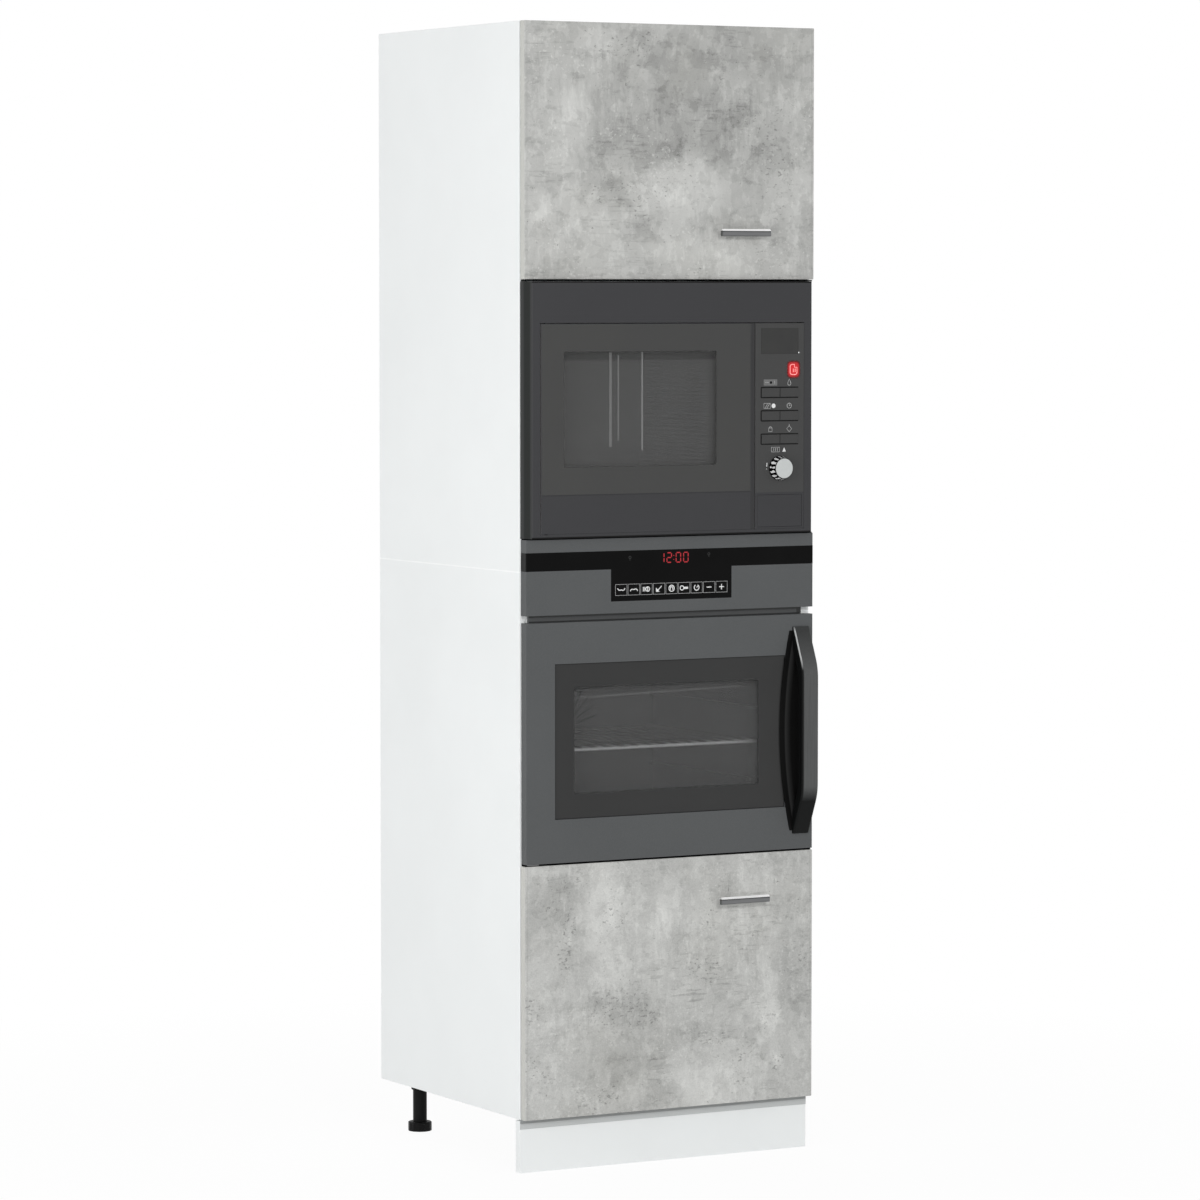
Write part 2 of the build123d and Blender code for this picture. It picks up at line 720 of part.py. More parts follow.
# Wire rack on the middle pair of ledges.
rack_z = ledge_tops[rack_level] + rack_wire_radius + fit_play
rack_front = carcass_front + rack_front_gap
rack_back = cavity_back - rack_back_gap
rack_half = inside_half - rack_side_gap - rack_wire_radius
rack_wire_pitch = 2 * rack_half / (rack_wire_count + 1)
with BuildPart() as oven_rack:
    for hand in (-1, 1):
        rod_y(hand * rack_half, rack_z, rack_wire_radius, (rack_front, rack_back))
    for y in (rack_front, rack_back):
        rod_x(y, rack_z, rack_wire_radius, (-rack_half, rack_half))
    for number in range(rack_wire_count):
        x = (number - (rack_wire_count - 1) / 2) * rack_wire_pitch
        rod_y(x, rack_z + rack_wire_radius / 2, rack_thin_radius, (rack_front, rack_back))
finish(oven_rack, "oven_rack")

# Control fascia over the oven door, a hollow pressing with a black touch glass let in flush.
with BuildPart() as oven_fascia:
    box_between((-oven_half, oven_half), (oven_front, carcass_front), (fascia_bottom, fascia_top))
    fillet(oven_fascia.edges().group_by(Axis.Y)[0], edge_round)
    hollow_half = oven_half - fascia_wall
    hollow_z = (fascia_bottom + fascia_wall, fascia_top - fascia_wall)
    hollow_y = (oven_front + fascia_front, carcass_front)
    box_between((-hollow_half, hollow_half), hollow_y, hollow_z, Mode.SUBTRACT)
    band_z = (fascia_top - touch_band_below_top - touch_band_height, fascia_top - touch_band_below_top)
    block_z = (band_z[0] - touch_block_height, band_z[0])
    block_x = (-touch_block_half_width, touch_block_half_width)
    glass_y = (oven_front, oven_front + touch_glass_thickness)
    box_between((-oven_half, oven_half), glass_y, band_z, Mode.SUBTRACT)
    box_between(block_x, glass_y, block_z, Mode.SUBTRACT)
    pin_z = (oven_door_top - oven_pin_length, fascia_bottom + fascia_wall)
    rod_z(oven_pin_x, oven_pin_y, oven_pin_radius, pin_z)
finish(oven_fascia, "oven_fascia")

with BuildPart() as oven_touch_glass:
    box_between((-oven_half, oven_half), glass_y, band_z)
    box_between(block_x, glass_y, block_z)
finish(oven_touch_glass, "oven_touch_glass")

# Side-hung oven door with an outer and an inner pane, on pins at its left corners.
window_half = oven_half - oven_window_side_border
window_z = (oven_door_bottom + oven_window_above_bottom, oven_door_top - oven_window_top_border)
outer_pane_back = oven_front + oven_glass_recess + oven_glass_thickness
inner_pane_front = oven_door_back - oven_glass_thickness
with BuildPart() as oven_door:
    box_between((-oven_half, oven_half), (oven_front, oven_door_back), (oven_door_bottom, oven_door_top))
    fillet(oven_door.edges().group_by(Axis.Y)[0], edge_round)
    box_between((-window_half, window_half), (oven_front, outer_pane_back), window_z, Mode.SUBTRACT)
    box_between((-window_half, window_half), (inner_pane_front, oven_door_back), window_z, Mode.SUBTRACT)
    sight_half = window_half - oven_glass_rebate
    sight_z = (window_z[0] + oven_glass_rebate, window_z[1] - oven_glass_rebate)
    box_between((-sight_half, sight_half), (oven_front, oven_door_back), sight_z, Mode.SUBTRACT)
    bore = oven_pin_radius + fit_play
    bore_depth = oven_pin_length + 10 * fit_play
    low_bore = (oven_door_bottom, oven_door_bottom + bore_depth)
    high_bore = (oven_door_top - bore_depth, oven_door_top)
    for bore_z in (low_bore, high_bore):
        rod_z(oven_pin_x, oven_pin_y, bore, bore_z, Mode.SUBTRACT)
finish(oven_door, "oven_door")

pane_half = window_half - oven_glass_play
pane_z = (window_z[0] + oven_glass_play, window_z[1] - oven_glass_play)
with BuildPart() as oven_door_glass:
    box_between((-pane_half, pane_half), (outer_pane_back - oven_glass_thickness, outer_pane_back), pane_z)
finish(oven_door_glass, "oven_door_glass")

with BuildPart() as oven_inner_glass:
    box_between((-pane_half, pane_half), (inner_pane_front, oven_door_back), pane_z)
finish(oven_inner_glass, "oven_inner_glass")

# Bowed upright handle: a straight grip that slopes to the door at both ends.
bow_bottom = oven_door_bottom + bow_above_bottom
bow_top = oven_door_top - bow_below_top
bow_centre_x = oven_half - bow_from_edge
bow_front = oven_front - bow_reach
bow_inside = bow_front + bow_thickness
bow_lip = oven_front - bow_end_lip
inner_bend = bow_foot_length + bow_inner_slope
with BuildPart() as oven_handle:
    with BuildSketch(Plane.YZ.offset(bow_centre_x - bow_width / 2)) as bow_side:
        with BuildLine():
            Polyline(
                (oven_front, bow_top),
                (bow_lip, bow_top),
                (bow_front, bow_top - bow_outer_slope),
                (bow_front, bow_bottom + bow_outer_slope),
                (bow_lip, bow_bottom),
                (oven_front, bow_bottom),
                (oven_front, bow_bottom + bow_foot_length),
                (bow_inside, bow_bottom + inner_bend),
                (bow_inside, bow_top - inner_bend),
                (oven_front, bow_top - bow_foot_length),
                close=True,
            )
        make_face()
        fillet(bow_side.vertices().group_by(Axis.X)[0], bow_outer_bend)
        fillet(bow_side.vertices().filter_by(lambda v: abs(v.X - bow_inside) < fit_play), bow_inner_bend)
    extrude(amount=bow_width)
    grip_faces = oven_handle.faces().filter_by(lambda f: f.normal_at().Y < -0.3)
    side_edges = oven_handle.edges().group_by(Axis.X)
    grip_edges = grip_faces.edges().filter_by(lambda e: e in side_edges[0] or e in side_edges[-1])
    fillet(grip_edges, bow_edge_round)
finish(oven_handle, "oven_handle")

# Microwave body: a sheet case on its shelf, and a cavity with its front plate.
microwave_half = inner_half - microwave_case_side_gap
microwave_case_z = (microwave_shelf_top, trim_top - microwave_case_below_trim)
microwave_case_back = rail_front - microwave_case_back_gap
trim_back_half = half_width - trim_side_gap
trim_front_half = trim_back_half - trim_slope
opening_x = (-trim_front_half + opening_left_border, trim_front_half - opening_right_border)
opening_z = (trim_bottom + opening_above_bottom, trim_top - opening_top_border)
microwave_door_right = opening_x[1] - control_column_width
hook_x = (microwave_door_right - microwave_door_wall, microwave_door_right)
hook_heights = (opening_z[0] + hook_end_distance, opening_z[1] - hook_end_distance)
with BuildPart() as microwave_case:
    box_between((-microwave_half, microwave_half), (plate_back, microwave_case_back), microwave_case_z)
    hollow_x = (-microwave_half + sheet, microwave_half - sheet)
    hollow_z = (microwave_case_z[0] + sheet, microwave_case_z[1] - sheet)
    box_between(hollow_x, (plate_back, microwave_case_back - sheet), hollow_z, Mode.SUBTRACT)
    vents((microwave_case_z[0] + microwave_case_z[1]) / 2, microwave_case_back)
finish(microwave_case, "microwave_case")

dish_x = (
    -microwave_half + microwave_cavity_left_border,
    microwave_door_right - microwave_cavity_right_border,
)
dish_z = (
    microwave_case_z[0] + microwave_cavity_bottom_border,
    microwave_case_z[1] - microwave_cavity_top_border,
)
dish_back = microwave_case_back - microwave_cavity_back_gap
with BuildPart() as microwave_cavity:
    plate_half = microwave_half - microwave_plate_edge
    plate_z = (microwave_case_z[0] + microwave_plate_edge, microwave_case_z[1] - microwave_plate_edge)
    box_between((-plate_half, plate_half), (carcass_front, plate_back), plate_z)
    liner_x = (dish_x[0] - sheet, dish_x[1] + sheet)
    liner_z = (dish_z[0] - sheet, dish_z[1] + sheet)
    box_between(liner_x, (carcass_front, dish_back + sheet), liner_z)
    box_between(dish_x, (carcass_front, dish_back), dish_z, Mode.SUBTRACT)
    for z in hook_heights:
        slot_x = (hook_x[0] - hook_play, hook_x[1] + hook_play)
        slot_z = (z - hook_height / 2 - hook_play, z + hook_height / 2 + hook_play)
        box_between(slot_x, (carcass_front, plate_back), slot_z, Mode.SUBTRACT)
finish(microwave_cavity, "microwave_cavity")

# Surround trim with sloped sides, which covers the gap to the cabinet and carries the door pins.
door_left = opening_x[0] + microwave_door_side_gap
door_z = (opening_z[0] + microwave_door_gap, opening_z[1] - microwave_door_gap)
pin_x = door_left + microwave_pin_from_edge
pin_y = microwave_front + microwave_pin_from_front
with BuildPart() as microwave_trim:
    with BuildSketch(Plane.XY.offset(trim_bottom)):
        with BuildLine():
            Polyline(
                (-trim_back_half, carcass_front),
                (-trim_back_half, carcass_front - trim_rim),
                (-trim_front_half, microwave_front),
                (trim_front_half, microwave_front),
                (trim_back_half, carcass_front - trim_rim),
                (trim_back_half, carcass_front),
                close=True,
            )
        make_face()
    extrude(amount=trim_height)
    box_between(opening_x, (microwave_front, carcass_front), opening_z, Mode.SUBTRACT)
    strip_half = trim_front_half - trim_wall
    strip_z = (opening_z[1] + trim_wall, trim_top - trim_wall)
    strip_y = (microwave_front + trim_wall, carcass_front)
    box_between((-strip_half, strip_half), strip_y, strip_z, Mode.SUBTRACT)
    rod_z(pin_x, pin_y, microwave_pin_radius, (door_z[1] - microwave_pin_length, opening_z[1] + trim_wall))
    rod_z(pin_x, pin_y, microwave_pin_radius, (trim_bottom, door_z[0] + microwave_pin_length))
finish(microwave_trim, "microwave_trim")

# Microwave door: a moulded tray with a flush glass, and a pressed screen closing its back.
microwave_door_x = (door_left, microwave_door_right)
microwave_door_back = carcass_front - microwave_door_back_gap
glass_x = (door_left + microwave_glass_edge, microwave_door_right - microwave_glass_right_edge)
glass_z = (door_z[0] + microwave_lower_band, door_z[1] - microwave_glass_edge)
sight_x = (glass_x[0] + microwave_window_left_border, glass_x[1] - microwave_window_right_border)
sight_z = (glass_z[0] + microwave_window_bottom_border, glass_z[1] - microwave_window_top_border)
tray_x = (door_left + microwave_door_wall, microwave_door_right - microwave_door_wall)
tray_y = (microwave_front + microwave_door_front, microwave_door_back)
tray_z = (door_z[0] + microwave_door_wall, door_z[1] - microwave_door_wall)
with BuildPart() as microwave_door:
    box_between(microwave_door_x, (microwave_front, microwave_door_back), door_z)
    box_between(tray_x, tray_y, tray_z, Mode.SUBTRACT)
    boss_x = (tray_x[0], tray_x[0] + pin_boss_width)
    boss_y = (tray_y[0], tray_y[0] + pin_boss_depth)
    for boss_z in ((tray_z[0], tray_z[0] + pin_boss_height), (tray_z[1] - pin_boss_height, tray_z[1])):
        box_between(boss_x, boss_y, boss_z)
    recess_y = (microwave_front, microwave_front + microwave_glass_thickness)
    box_between(glass_x, recess_y, glass_z, Mode.SUBTRACT)
    box_between(sight_x, (microwave_front, tray_y[0]), sight_z, Mode.SUBTRACT)
    bore = microwave_pin_radius + fit_play
    bore_depth = microwave_pin_length + 10 * fit_play
    for bore_z in ((door_z[0], door_z[0] + bore_depth), (door_z[1] - bore_depth, door_z[1])):
        rod_z(pin_x, pin_y, bore, bore_z, Mode.SUBTRACT)
    for z in hook_heights:
        hook_z = (z - hook_height / 2, z + hook_height / 2)
        box_between(hook_x, (microwave_door_back, carcass_front + hook_reach), hook_z)
finish(microwave_door, "microwave_door")

with BuildPart() as microwave_door_glass:
    box_between(glass_x, recess_y, glass_z)
finish(microwave_door_glass, "microwave_door_glass")

with BuildPart() as microwave_door_screen:
    screen_x = (tray_x[0] + screen_play, tray_x[1] - screen_play)
    screen_z = (tray_z[0] + screen_play, tray_z[1] - screen_play)
    box_between(screen_x, (microwave_door_back - screen_thickness, microwave_door_back), screen_z)
finish(microwave_door_screen, "microwave_door_screen")

# Control column beside the door, with slots for six push buttons, the knob and the door release.
control_x = (microwave_door_right + control_gap, opening_x[1] - control_trim_gap)
control_axis_x = (control_x[0] + control_x[1]) / 2
control_height = door_z[1] - door_z[0]
control_inside_x = (control_x[0] + control_wall, control_x[1] - control_wall)
control_inside_z = (door_z[0] + control_wall, door_z[1] - control_wall)
control_back = microwave_front + control_front
knob_z = door_z[1] - knob_share * control_height
release_bottom = control_inside_z[0] + button_play
release_z = (release_bottom, release_bottom + release_height_share * control_height)
release_x = (control_inside_x[0] + release_side_border, control_inside_x[1] - release_side_border)
button_height = button_height_share * control_height
button_width = (control_x[1] - control_x[0] - button_middle_gap) / 2 - button_side_border
button_places = {}
for row in range(button_rows):
    button_z = door_z[1] - (button_first_row_share + row * button_row_share) * control_height
    for column, hand in (("left", -1), ("right", 1)):
        button_x = control_axis_x + hand * (button_width + button_middle_gap) / 2
        button_places[f"button_{row + 1}_{column}"] = (button_x, button_z)
with BuildPart() as microwave_control_panel:
    box_between(control_x, (microwave_front, carcass_front), door_z)
    box_between(control_inside_x, (control_back, carcass_front), control_inside_z, Mode.SUBTRACT)
    display_x = (control_x[0] + display_side_border, control_x[1] - display_side_border)
    display_top = door_z[1] - display_top_share * control_height
    display_z = (display_top - display_height_share * control_height, display_top)
    box_between(display_x, (microwave_front, microwave_front + display_recess), display_z, Mode.SUBTRACT)
    for x, z in button_places.values():
        with Locations((x, microwave_front + control_front / 2, z)):
            slot_width = button_width + 2 * button_play
            slot_height = button_height + 2 * button_play
            Box(slot_width, control_front, slot_height, mode=Mode.SUBTRACT)
    shaft_bore = knob_shaft_radius + fit_play
    rod_y(control_axis_x, knob_z, shaft_bore, (microwave_front, control_back), Mode.SUBTRACT)
    slot_x = (release_x[0] - button_play, release_x[1] + button_play)
    slot_z = (release_z[0] - button_play, release_z[1] + button_play)
    box_between(slot_x, (microwave_front, control_back), slot_z, Mode.SUBTRACT)
finish(microwave_control_panel, "microwave_control_panel")

for button_name, (x, z) in button_places.items():
    with BuildPart() as button:
        cap_x = (x - button_width / 2, x + button_width / 2)
        cap_z = (z - button_height / 2, z + button_height / 2)
        cap_front = microwave_front - button_proud
        box_between(cap_x, (cap_front, cap_front + button_length), cap_z)
        fillet(button.edges().group_by(Axis.Y)[0], edge_round)
        flange_front = control_back + button_play
        flange_x = (cap_x[0] - button_play, cap_x[1] + button_play)
        flange_z = (cap_z[0] - button_flange, cap_z[1] + button_flange)
        box_between(flange_x, (flange_front, flange_front + button_flange_thickness), flange_z)
    finish(button, f"microwave_{button_name}")

with BuildPart() as microwave_release:
    box_between(release_x, (microwave_front, microwave_front + release_thickness), release_z)
    fillet(microwave_release.edges().group_by(Axis.Y)[0], edge_round)
    stem_x = (control_axis_x - release_stem_width / 2, control_axis_x + release_stem_width / 2)
    stem_middle = (release_z[0] + release_z[1]) / 2
    stem_z = (stem_middle - release_stem_height / 2, stem_middle + release_stem_height / 2)
    stem_front = microwave_front + release_thickness
    box_between(stem_x, (stem_front, stem_front + release_stem_length), stem_z)
finish(microwave_release, "microwave_release")

with BuildPart() as microwave_knob:
    knob_back = microwave_front - knob_panel_gap
    with BuildSketch(Plane.XZ.offset(-knob_back)):
        with Locations((control_axis_x, knob_z)):
            Circle(knob_radius)
    with BuildSketch(Plane.XZ.offset(knob_length + knob_panel_gap - knob_back)):
        with Locations((control_axis_x, knob_z)):
            Circle(knob_face_radius)
    loft()
    fillet(microwave_knob.edges().sort_by(Axis.Y)[0], edge_round * 2)
    rod_y(control_axis_x, knob_z, knob_shaft_radius, (knob_back, knob_back + knob_shaft_length))
finish(microwave_knob, "microwave_knob")

# Glass turntable on a roller ring, in the middle of the microwave cavity.
turntable_x = (dish_x[0] + dish_x[1]) / 2
turntable_y = (carcass_front + dish_back) / 2
turntable_radius = (dish_back - carcass_front) / 2 - turntable_edge_gap
ring_radius = ring_share * turntable_radius
roller_z = dish_z[0] + roller_gap + roller_radius
with BuildPart() as roller_ring:
    ring_z = (roller_z - ring_thickness / 2, roller_z + ring_thickness / 2)
    rod_z(turntable_x, turntable_y, ring_radius + ring_width / 2, ring_z)
    rod_z(turntable_x, turntable_y, ring_radius - ring_width / 2, ring_z, Mode.SUBTRACT)
    with Locations((turntable_x, turntable_y, roller_z)):
        with PolarLocations(ring_radius, roller_count):
            Cylinder(roller_radius, roller_width, rotation=(0, 90, 0))
finish(roller_ring, "roller_ring")

with BuildPart() as turntable:
    plate_bottom = roller_z + roller_radius + roller_gap
    rod_z(turntable_x, turntable_y, turntable_radius, (plate_bottom, plate_bottom + turntable_thickness))
    fillet(turntable.edges().group_by(Axis.Z)[-1], edge_round * 2)
finish(turntable, "turntable")
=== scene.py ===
# Tall kitchen cabinet with a built-in microwave over a built-in oven, between two cupboards.
import math

import bpy
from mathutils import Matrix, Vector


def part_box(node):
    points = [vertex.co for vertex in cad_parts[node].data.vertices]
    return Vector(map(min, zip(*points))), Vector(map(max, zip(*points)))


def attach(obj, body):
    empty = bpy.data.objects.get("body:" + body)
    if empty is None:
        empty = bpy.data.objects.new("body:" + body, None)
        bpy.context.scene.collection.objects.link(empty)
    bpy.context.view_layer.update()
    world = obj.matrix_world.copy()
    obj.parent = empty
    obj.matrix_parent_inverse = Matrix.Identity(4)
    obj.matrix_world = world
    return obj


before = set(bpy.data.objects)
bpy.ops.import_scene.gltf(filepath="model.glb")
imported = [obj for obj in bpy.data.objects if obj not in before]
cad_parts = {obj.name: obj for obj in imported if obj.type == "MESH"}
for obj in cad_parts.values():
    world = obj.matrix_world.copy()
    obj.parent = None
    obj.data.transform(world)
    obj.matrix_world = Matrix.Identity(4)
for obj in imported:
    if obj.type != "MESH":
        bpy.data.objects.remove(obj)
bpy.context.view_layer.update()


# Carcass: sides, top, bottom, shelves, rails and plinth are chipboard faced with white melamine.
# Cam locks and dowels join them. The rear edges are sawn and left bare.
class Tone:
    """A socket of a material's nodes. Sums, products and comparisons on it add Math nodes."""

    def __init__(self, tree, socket=None):
        self.tree = tree
        self.socket = socket

    def node(self, kind, settings=None, inputs=None, output=0):
        """Adds a node, with its settings first and then the values or links of its inputs."""
        made = self.tree.nodes.new(kind)
        for name, value in (settings or {}).items():
            setattr(made, name, value)
        for name, value in (inputs or {}).items():
            if isinstance(value, Tone):
                self.tree.links.new(value.socket, made.inputs[name])
            else:
                made.inputs[name].default_value = value
        return Tone(self.tree, made.outputs[output])

    def reckon(self, operation, first, second=0.0):
        return self.node("ShaderNodeMath", {"operation": operation}, {0: first, 1: second})

    def __add__(self, other):
        return self.reckon("ADD", self, other)

    def __sub__(self, other):
        return self.reckon("SUBTRACT", self, other)

    def __rsub__(self, other):
        return self.reckon("SUBTRACT", other, self)

    def __mul__(self, other):
        return self.reckon("MULTIPLY", self, other)

    def __gt__(self, other):
        return self.reckon("GREATER_THAN", self, other)

    def __lt__(self, other):
        return self.reckon("LESS_THAN", self, other)

    def __abs__(self):
        return self.reckon("ABSOLUTE", self)

    __radd__ = __add__
    __rmul__ = __mul__


def screen_colour(red, green, blue):
    """A colour as a screen gives it, from 0 to 255, made linear for a shader."""
    linear = []
    for part in (red, green, blue):
        share = part / 255
        linear.append(share / 12.92 if share <= 0.04045 else ((share + 0.055) / 1.055) ** 2.4)
    return (*linear, 1.0)


def begin_finish(name, fixed):
    """A new material: its shader with the constant values set, and the object's coordinates."""
    material = bpy.data.materials.new(name)
    material.use_nodes = True
    shader = material.node_tree.nodes["Principled BSDF"]
    for socket, value in fixed.items():
        shader.inputs[socket].default_value = value
    place = Tone(material.node_tree).node("ShaderNodeTexCoord", output="Object")
    return shader, place


def feed(shader, tones):
    """Links what changes over the surface to the shader's sockets."""
    for socket, tone in tones.items():
        tone.tree.links.new(tone.socket, shader.inputs[socket])


def cloud(place, scale, detail=3.0, stretch=(1.0, 1.0, 1.0), shift=(0.0, 0.0, 0.0), rough=0.5):
    """Noise from about 0.25 to 0.75, of that many blotches in a metre."""
    spot = place.node("ShaderNodeMapping", None, {"Vector": place, "Location": shift, "Scale": stretch})
    blotches = {"Vector": spot, "Scale": scale, "Detail": detail, "Roughness": rough}
    return place.node("ShaderNodeTexNoise", None, blotches)


def rise(value, low, high):
    """0 at low and 1 at high, straight between and flat beyond."""
    limits = {"Value": value, "From Min": low, "From Max": high}
    return value.node("ShaderNodeMapRange", None, limits)


def tint(mask, low, high):
    """A colour that goes from low to high with the mask. Three numbers are a screen's colour."""
    low, high = [screen_colour(*end) if isinstance(end, tuple) and len(end) == 3 else end for end in (low, high)]
    return mask.node("ShaderNodeMix", {"data_type": "RGBA"}, {0: mask, 6: low, 7: high}, output=2)


def mottled(noise, low, high, start=0.3, end=0.7):
    """Two screen colours in blotches that follow the noise."""
    return tint(rise(noise, start, end), low, high)


def relief(height, depth):
    """Bumps of that depth in metres from a height between 0 and 1."""
    return height.node("ShaderNodeBump", None, {"Height": height, "Distance": depth})


def axes(place):
    """The three coordinates of a place, each on its own."""
    split = place.tree.nodes.new("ShaderNodeSeparateXYZ")
    place.tree.links.new(place.socket, split.inputs[0])
    return [Tone(place.tree, socket) for socket in split.outputs]


def dress(slot, name):
    """Gives a finish to every solid of the frame that is in that slot of the record."""
    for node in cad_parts.values():
        for holder in node.material_slots:
            if holder.material.name == slot:
                holder.material = bpy.data.materials[name]


rear_edge = 0.3036
shader, place = begin_finish("white_melamine", {"Specular IOR Level": 0.3})
x, y, z = axes(place)
pearl = cloud(place, 1500.0, 2.0)
haze = cloud(place, 5.0)
facing = mottled(haze, (240, 242, 242), (243, 245, 245))
chips = cloud(place, 260.0, 5.0, (1.0, 1.0, 2.2))
sawn = mottled(chips, (150, 118, 84), (214, 188, 152))
bare = y > rear_edge
seam_z = 1.0760
seam = rise(abs(z - seam_z), 0.0016, 0.0006) * (abs(x) > 0.2990)
facing = tint(seam, facing, (252, 253, 253))
feed(shader, {
    "Base Color": tint(bare, facing, sawn),
    "Roughness": 0.4 + 0.12 * pearl + 0.4 * bare,
    "Normal": relief(pearl + 12.0 * bare * chips, 0.00003),
})
dress("white_board", "white_melamine")


# Backs of the two cupboards: 3 mm hardboard, lacquered white inside and bare brown fibre behind,
# slid into grooves in the carcass.
back_turn = 0.2923
shader, place = begin_finish("hardboard", {"Specular IOR Level": 0.25})
x, y, z = axes(place)
fibre = cloud(place, 420.0, 5.0, (1.0, 1.0, 0.35))
blotch = cloud(place, 9.0)
brown = mottled(fibre, (112, 78, 50), (156, 116, 78))
lacquer = mottled(blotch, (233, 234, 236), (238, 239, 240))
behind = y > back_turn
feed(shader, {
    "Base Color": tint(behind, lacquer, tint(0.4 * rise(blotch, 0.35, 0.65), brown, (128, 92, 60))),
    "Roughness": 0.45 + 0.35 * behind,
    "Normal": relief(fibre, 0.00006),
})
dress("back_board", "hardboard")


# Panel fittings: zinc die-cast cam locks, bolts, shelf pins and handle screws, and beech dowels.
# They are pressed or screwed into bores and barely show once the cabinet stands.
shader, place = begin_finish("die_cast_zinc", {"Specular IOR Level": 0.5})
cast = cloud(place, 900.0, 4.0)
dull = cloud(place, 60.0)
feed(shader, {
    "Base Color": mottled(dull, (188, 190, 194), (214, 215, 217)),
    "Metallic": 0.8 + 0.2 * dull,
    "Roughness": 0.3 + 0.25 * cast,
    "Normal": relief(cast, 0.00005),
})
dress("zinc", "die_cast_zinc")

shader, place = begin_finish("beech_wood", {"Specular IOR Level": 0.25})
pores = cloud(place, 300.0, 4.0, (0.12, 1.0, 1.0))
feed(shader, {
    "Base Color": mottled(pores, (196, 154, 108), (222, 186, 142), 0.35, 0.65),
    "Roughness": 0.5 + 0.2 * pores,
    "Normal": relief(pores, 0.0001),
})
dress("beech", "beech_wood")


# Feet, their sockets, the plinth clips and the roller ring: black moulded plastic with a fine
# spark-eroded grain and a dull, slightly dusty sheen.
shader, place = begin_finish("black_moulding", {"Specular IOR Level": 0.12})
spark = cloud(place, 1300.0, 3.0)
dust = cloud(place, 14.0, 5.0)
feed(shader, {
    "Base Color": mottled(dust, (16, 16, 16), (24, 24, 24), 0.35, 0.75),
    "Roughness": 0.42 + 0.2 * spark,
    "Normal": relief(spark, 0.00008),
})
dress("black_plastic", "black_moulding")


# Plinth shadow strip: a thin grey strip laid along the top of the plinth's front. Its grey is a painted
# shadow of the door on the plinth, and a darker painted shade line runs along its upper edge.
def block(name, low, high):
    """A block between two corners, with its place in its mesh, to model a piece from."""
    bpy.ops.object.select_all(action="DESELECT")
    size = [top - bottom for bottom, top in zip(low, high)]
    middle = [(top + bottom) / 2 for bottom, top in zip(low, high)]
    bpy.ops.mesh.primitive_cube_add(size=1.0, location=middle)
    piece = bpy.context.object
    piece.name = name
    piece.scale = size
    bpy.ops.object.transform_apply(location=True, rotation=True, scale=True)
    return piece


def pick_faces(piece, wanted):
    """Goes into edit mode with only the faces selected whose centre and normal pass the test."""
    bpy.ops.object.mode_set(mode="EDIT")
    bpy.ops.mesh.select_mode(type="FACE")
    bpy.ops.mesh.select_all(action="DESELECT")
    bpy.ops.object.mode_set(mode="OBJECT")
    for face in piece.data.polygons:
        face.select = wanted(face.center, face.normal)
    bpy.ops.object.mode_set(mode="EDIT")


def pick_edges(piece, wanted):
    """Goes into edit mode with only the edges selected whose two ends pass the test."""
    bpy.ops.object.mode_set(mode="EDIT")
    bpy.ops.mesh.select_mode(type="EDGE")
    bpy.ops.mesh.select_all(action="DESELECT")
    bpy.ops.object.mode_set(mode="OBJECT")
    corners = piece.data.vertices
    for edge in piece.data.edges:
        edge.select = wanted(corners[edge.vertices[0]].co, corners[edge.vertices[1]].co)
    bpy.ops.object.mode_set(mode="EDIT")


def mount(piece, finish, body):
    """Leaves edit mode, smooths the piece, and gives it its finish and body."""
    bpy.ops.object.mode_set(mode="OBJECT")
    bpy.ops.object.select_all(action="DESELECT")
    piece.select_set(True)
    bpy.context.view_layer.objects.active = piece
    bpy.ops.object.shade_smooth_by_angle(angle=math.radians(35))
    piece.data.materials.clear()
    piece.data.materials.append(bpy.data.materials[finish])
    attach(piece, body)


shadow_strip_low, shade_line_z, shadow_strip_top = 0.0788, 0.0890, 0.0938
shader, place = begin_finish("plinth_shadow_paint", {"Specular IOR Level": 0.2})
x, y, z = axes(place)
pressed = cloud(place, 700.0, 3.0)
# The strip's grey and the darker line along its top are painted shadow of the door.
door_shade_line = rise(z, shade_line_z - 0.0004, shade_line_z + 0.0004)
door_shadow_tone = mottled(pressed, (196, 198, 198), (201, 203, 203))
feed(shader, {
    "Base Color": tint(door_shade_line, door_shadow_tone, (164, 166, 166)),
    "Roughness": 0.5 + 0.2 * pressed,
    "Normal": relief(pressed, 0.00004),
})
plinth_low, plinth_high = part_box("plinth_board")
shadow_strip_front = plinth_low.y - 0.0010
shadow_strip = block("plinth_shadow_strip", (plinth_low.x + 0.0002, shadow_strip_front, shadow_strip_low), (plinth_high.x - 0.0002, plinth_low.y, shadow_strip_top))
pick_edges(shadow_strip, lambda a, b: max(a.y, b.y) < shadow_strip_front + 0.0001 and max(a.z, b.z) < shadow_strip_low + 0.001)
bpy.ops.mesh.bevel(offset=0.0007, segments=3, affect="EDGES")
mount(shadow_strip, "plinth_shadow_paint", "cabinet")


# Concealed hinges: pressed steel cups, links and arms, nickel plated, with faint drawing marks.
# The cups sit in bores of the doors, and the arms are screwed to the left side.
shader, place = begin_finish("nickel_plate", {"Specular IOR Level": 0.5, "Metallic": 1.0})
drawn = cloud(place, 500.0, 3.0, (1.0, 0.1, 1.0))
tarnish = cloud(place, 40.0)
feed(shader, {
    "Base Color": mottled(tarnish, (182, 178, 170), (210, 208, 203)),
    "Roughness": 0.22 + 0.25 * drawn,
    "Normal": relief(drawn, 0.00003),
})
dress("hinge_steel", "nickel_plate")


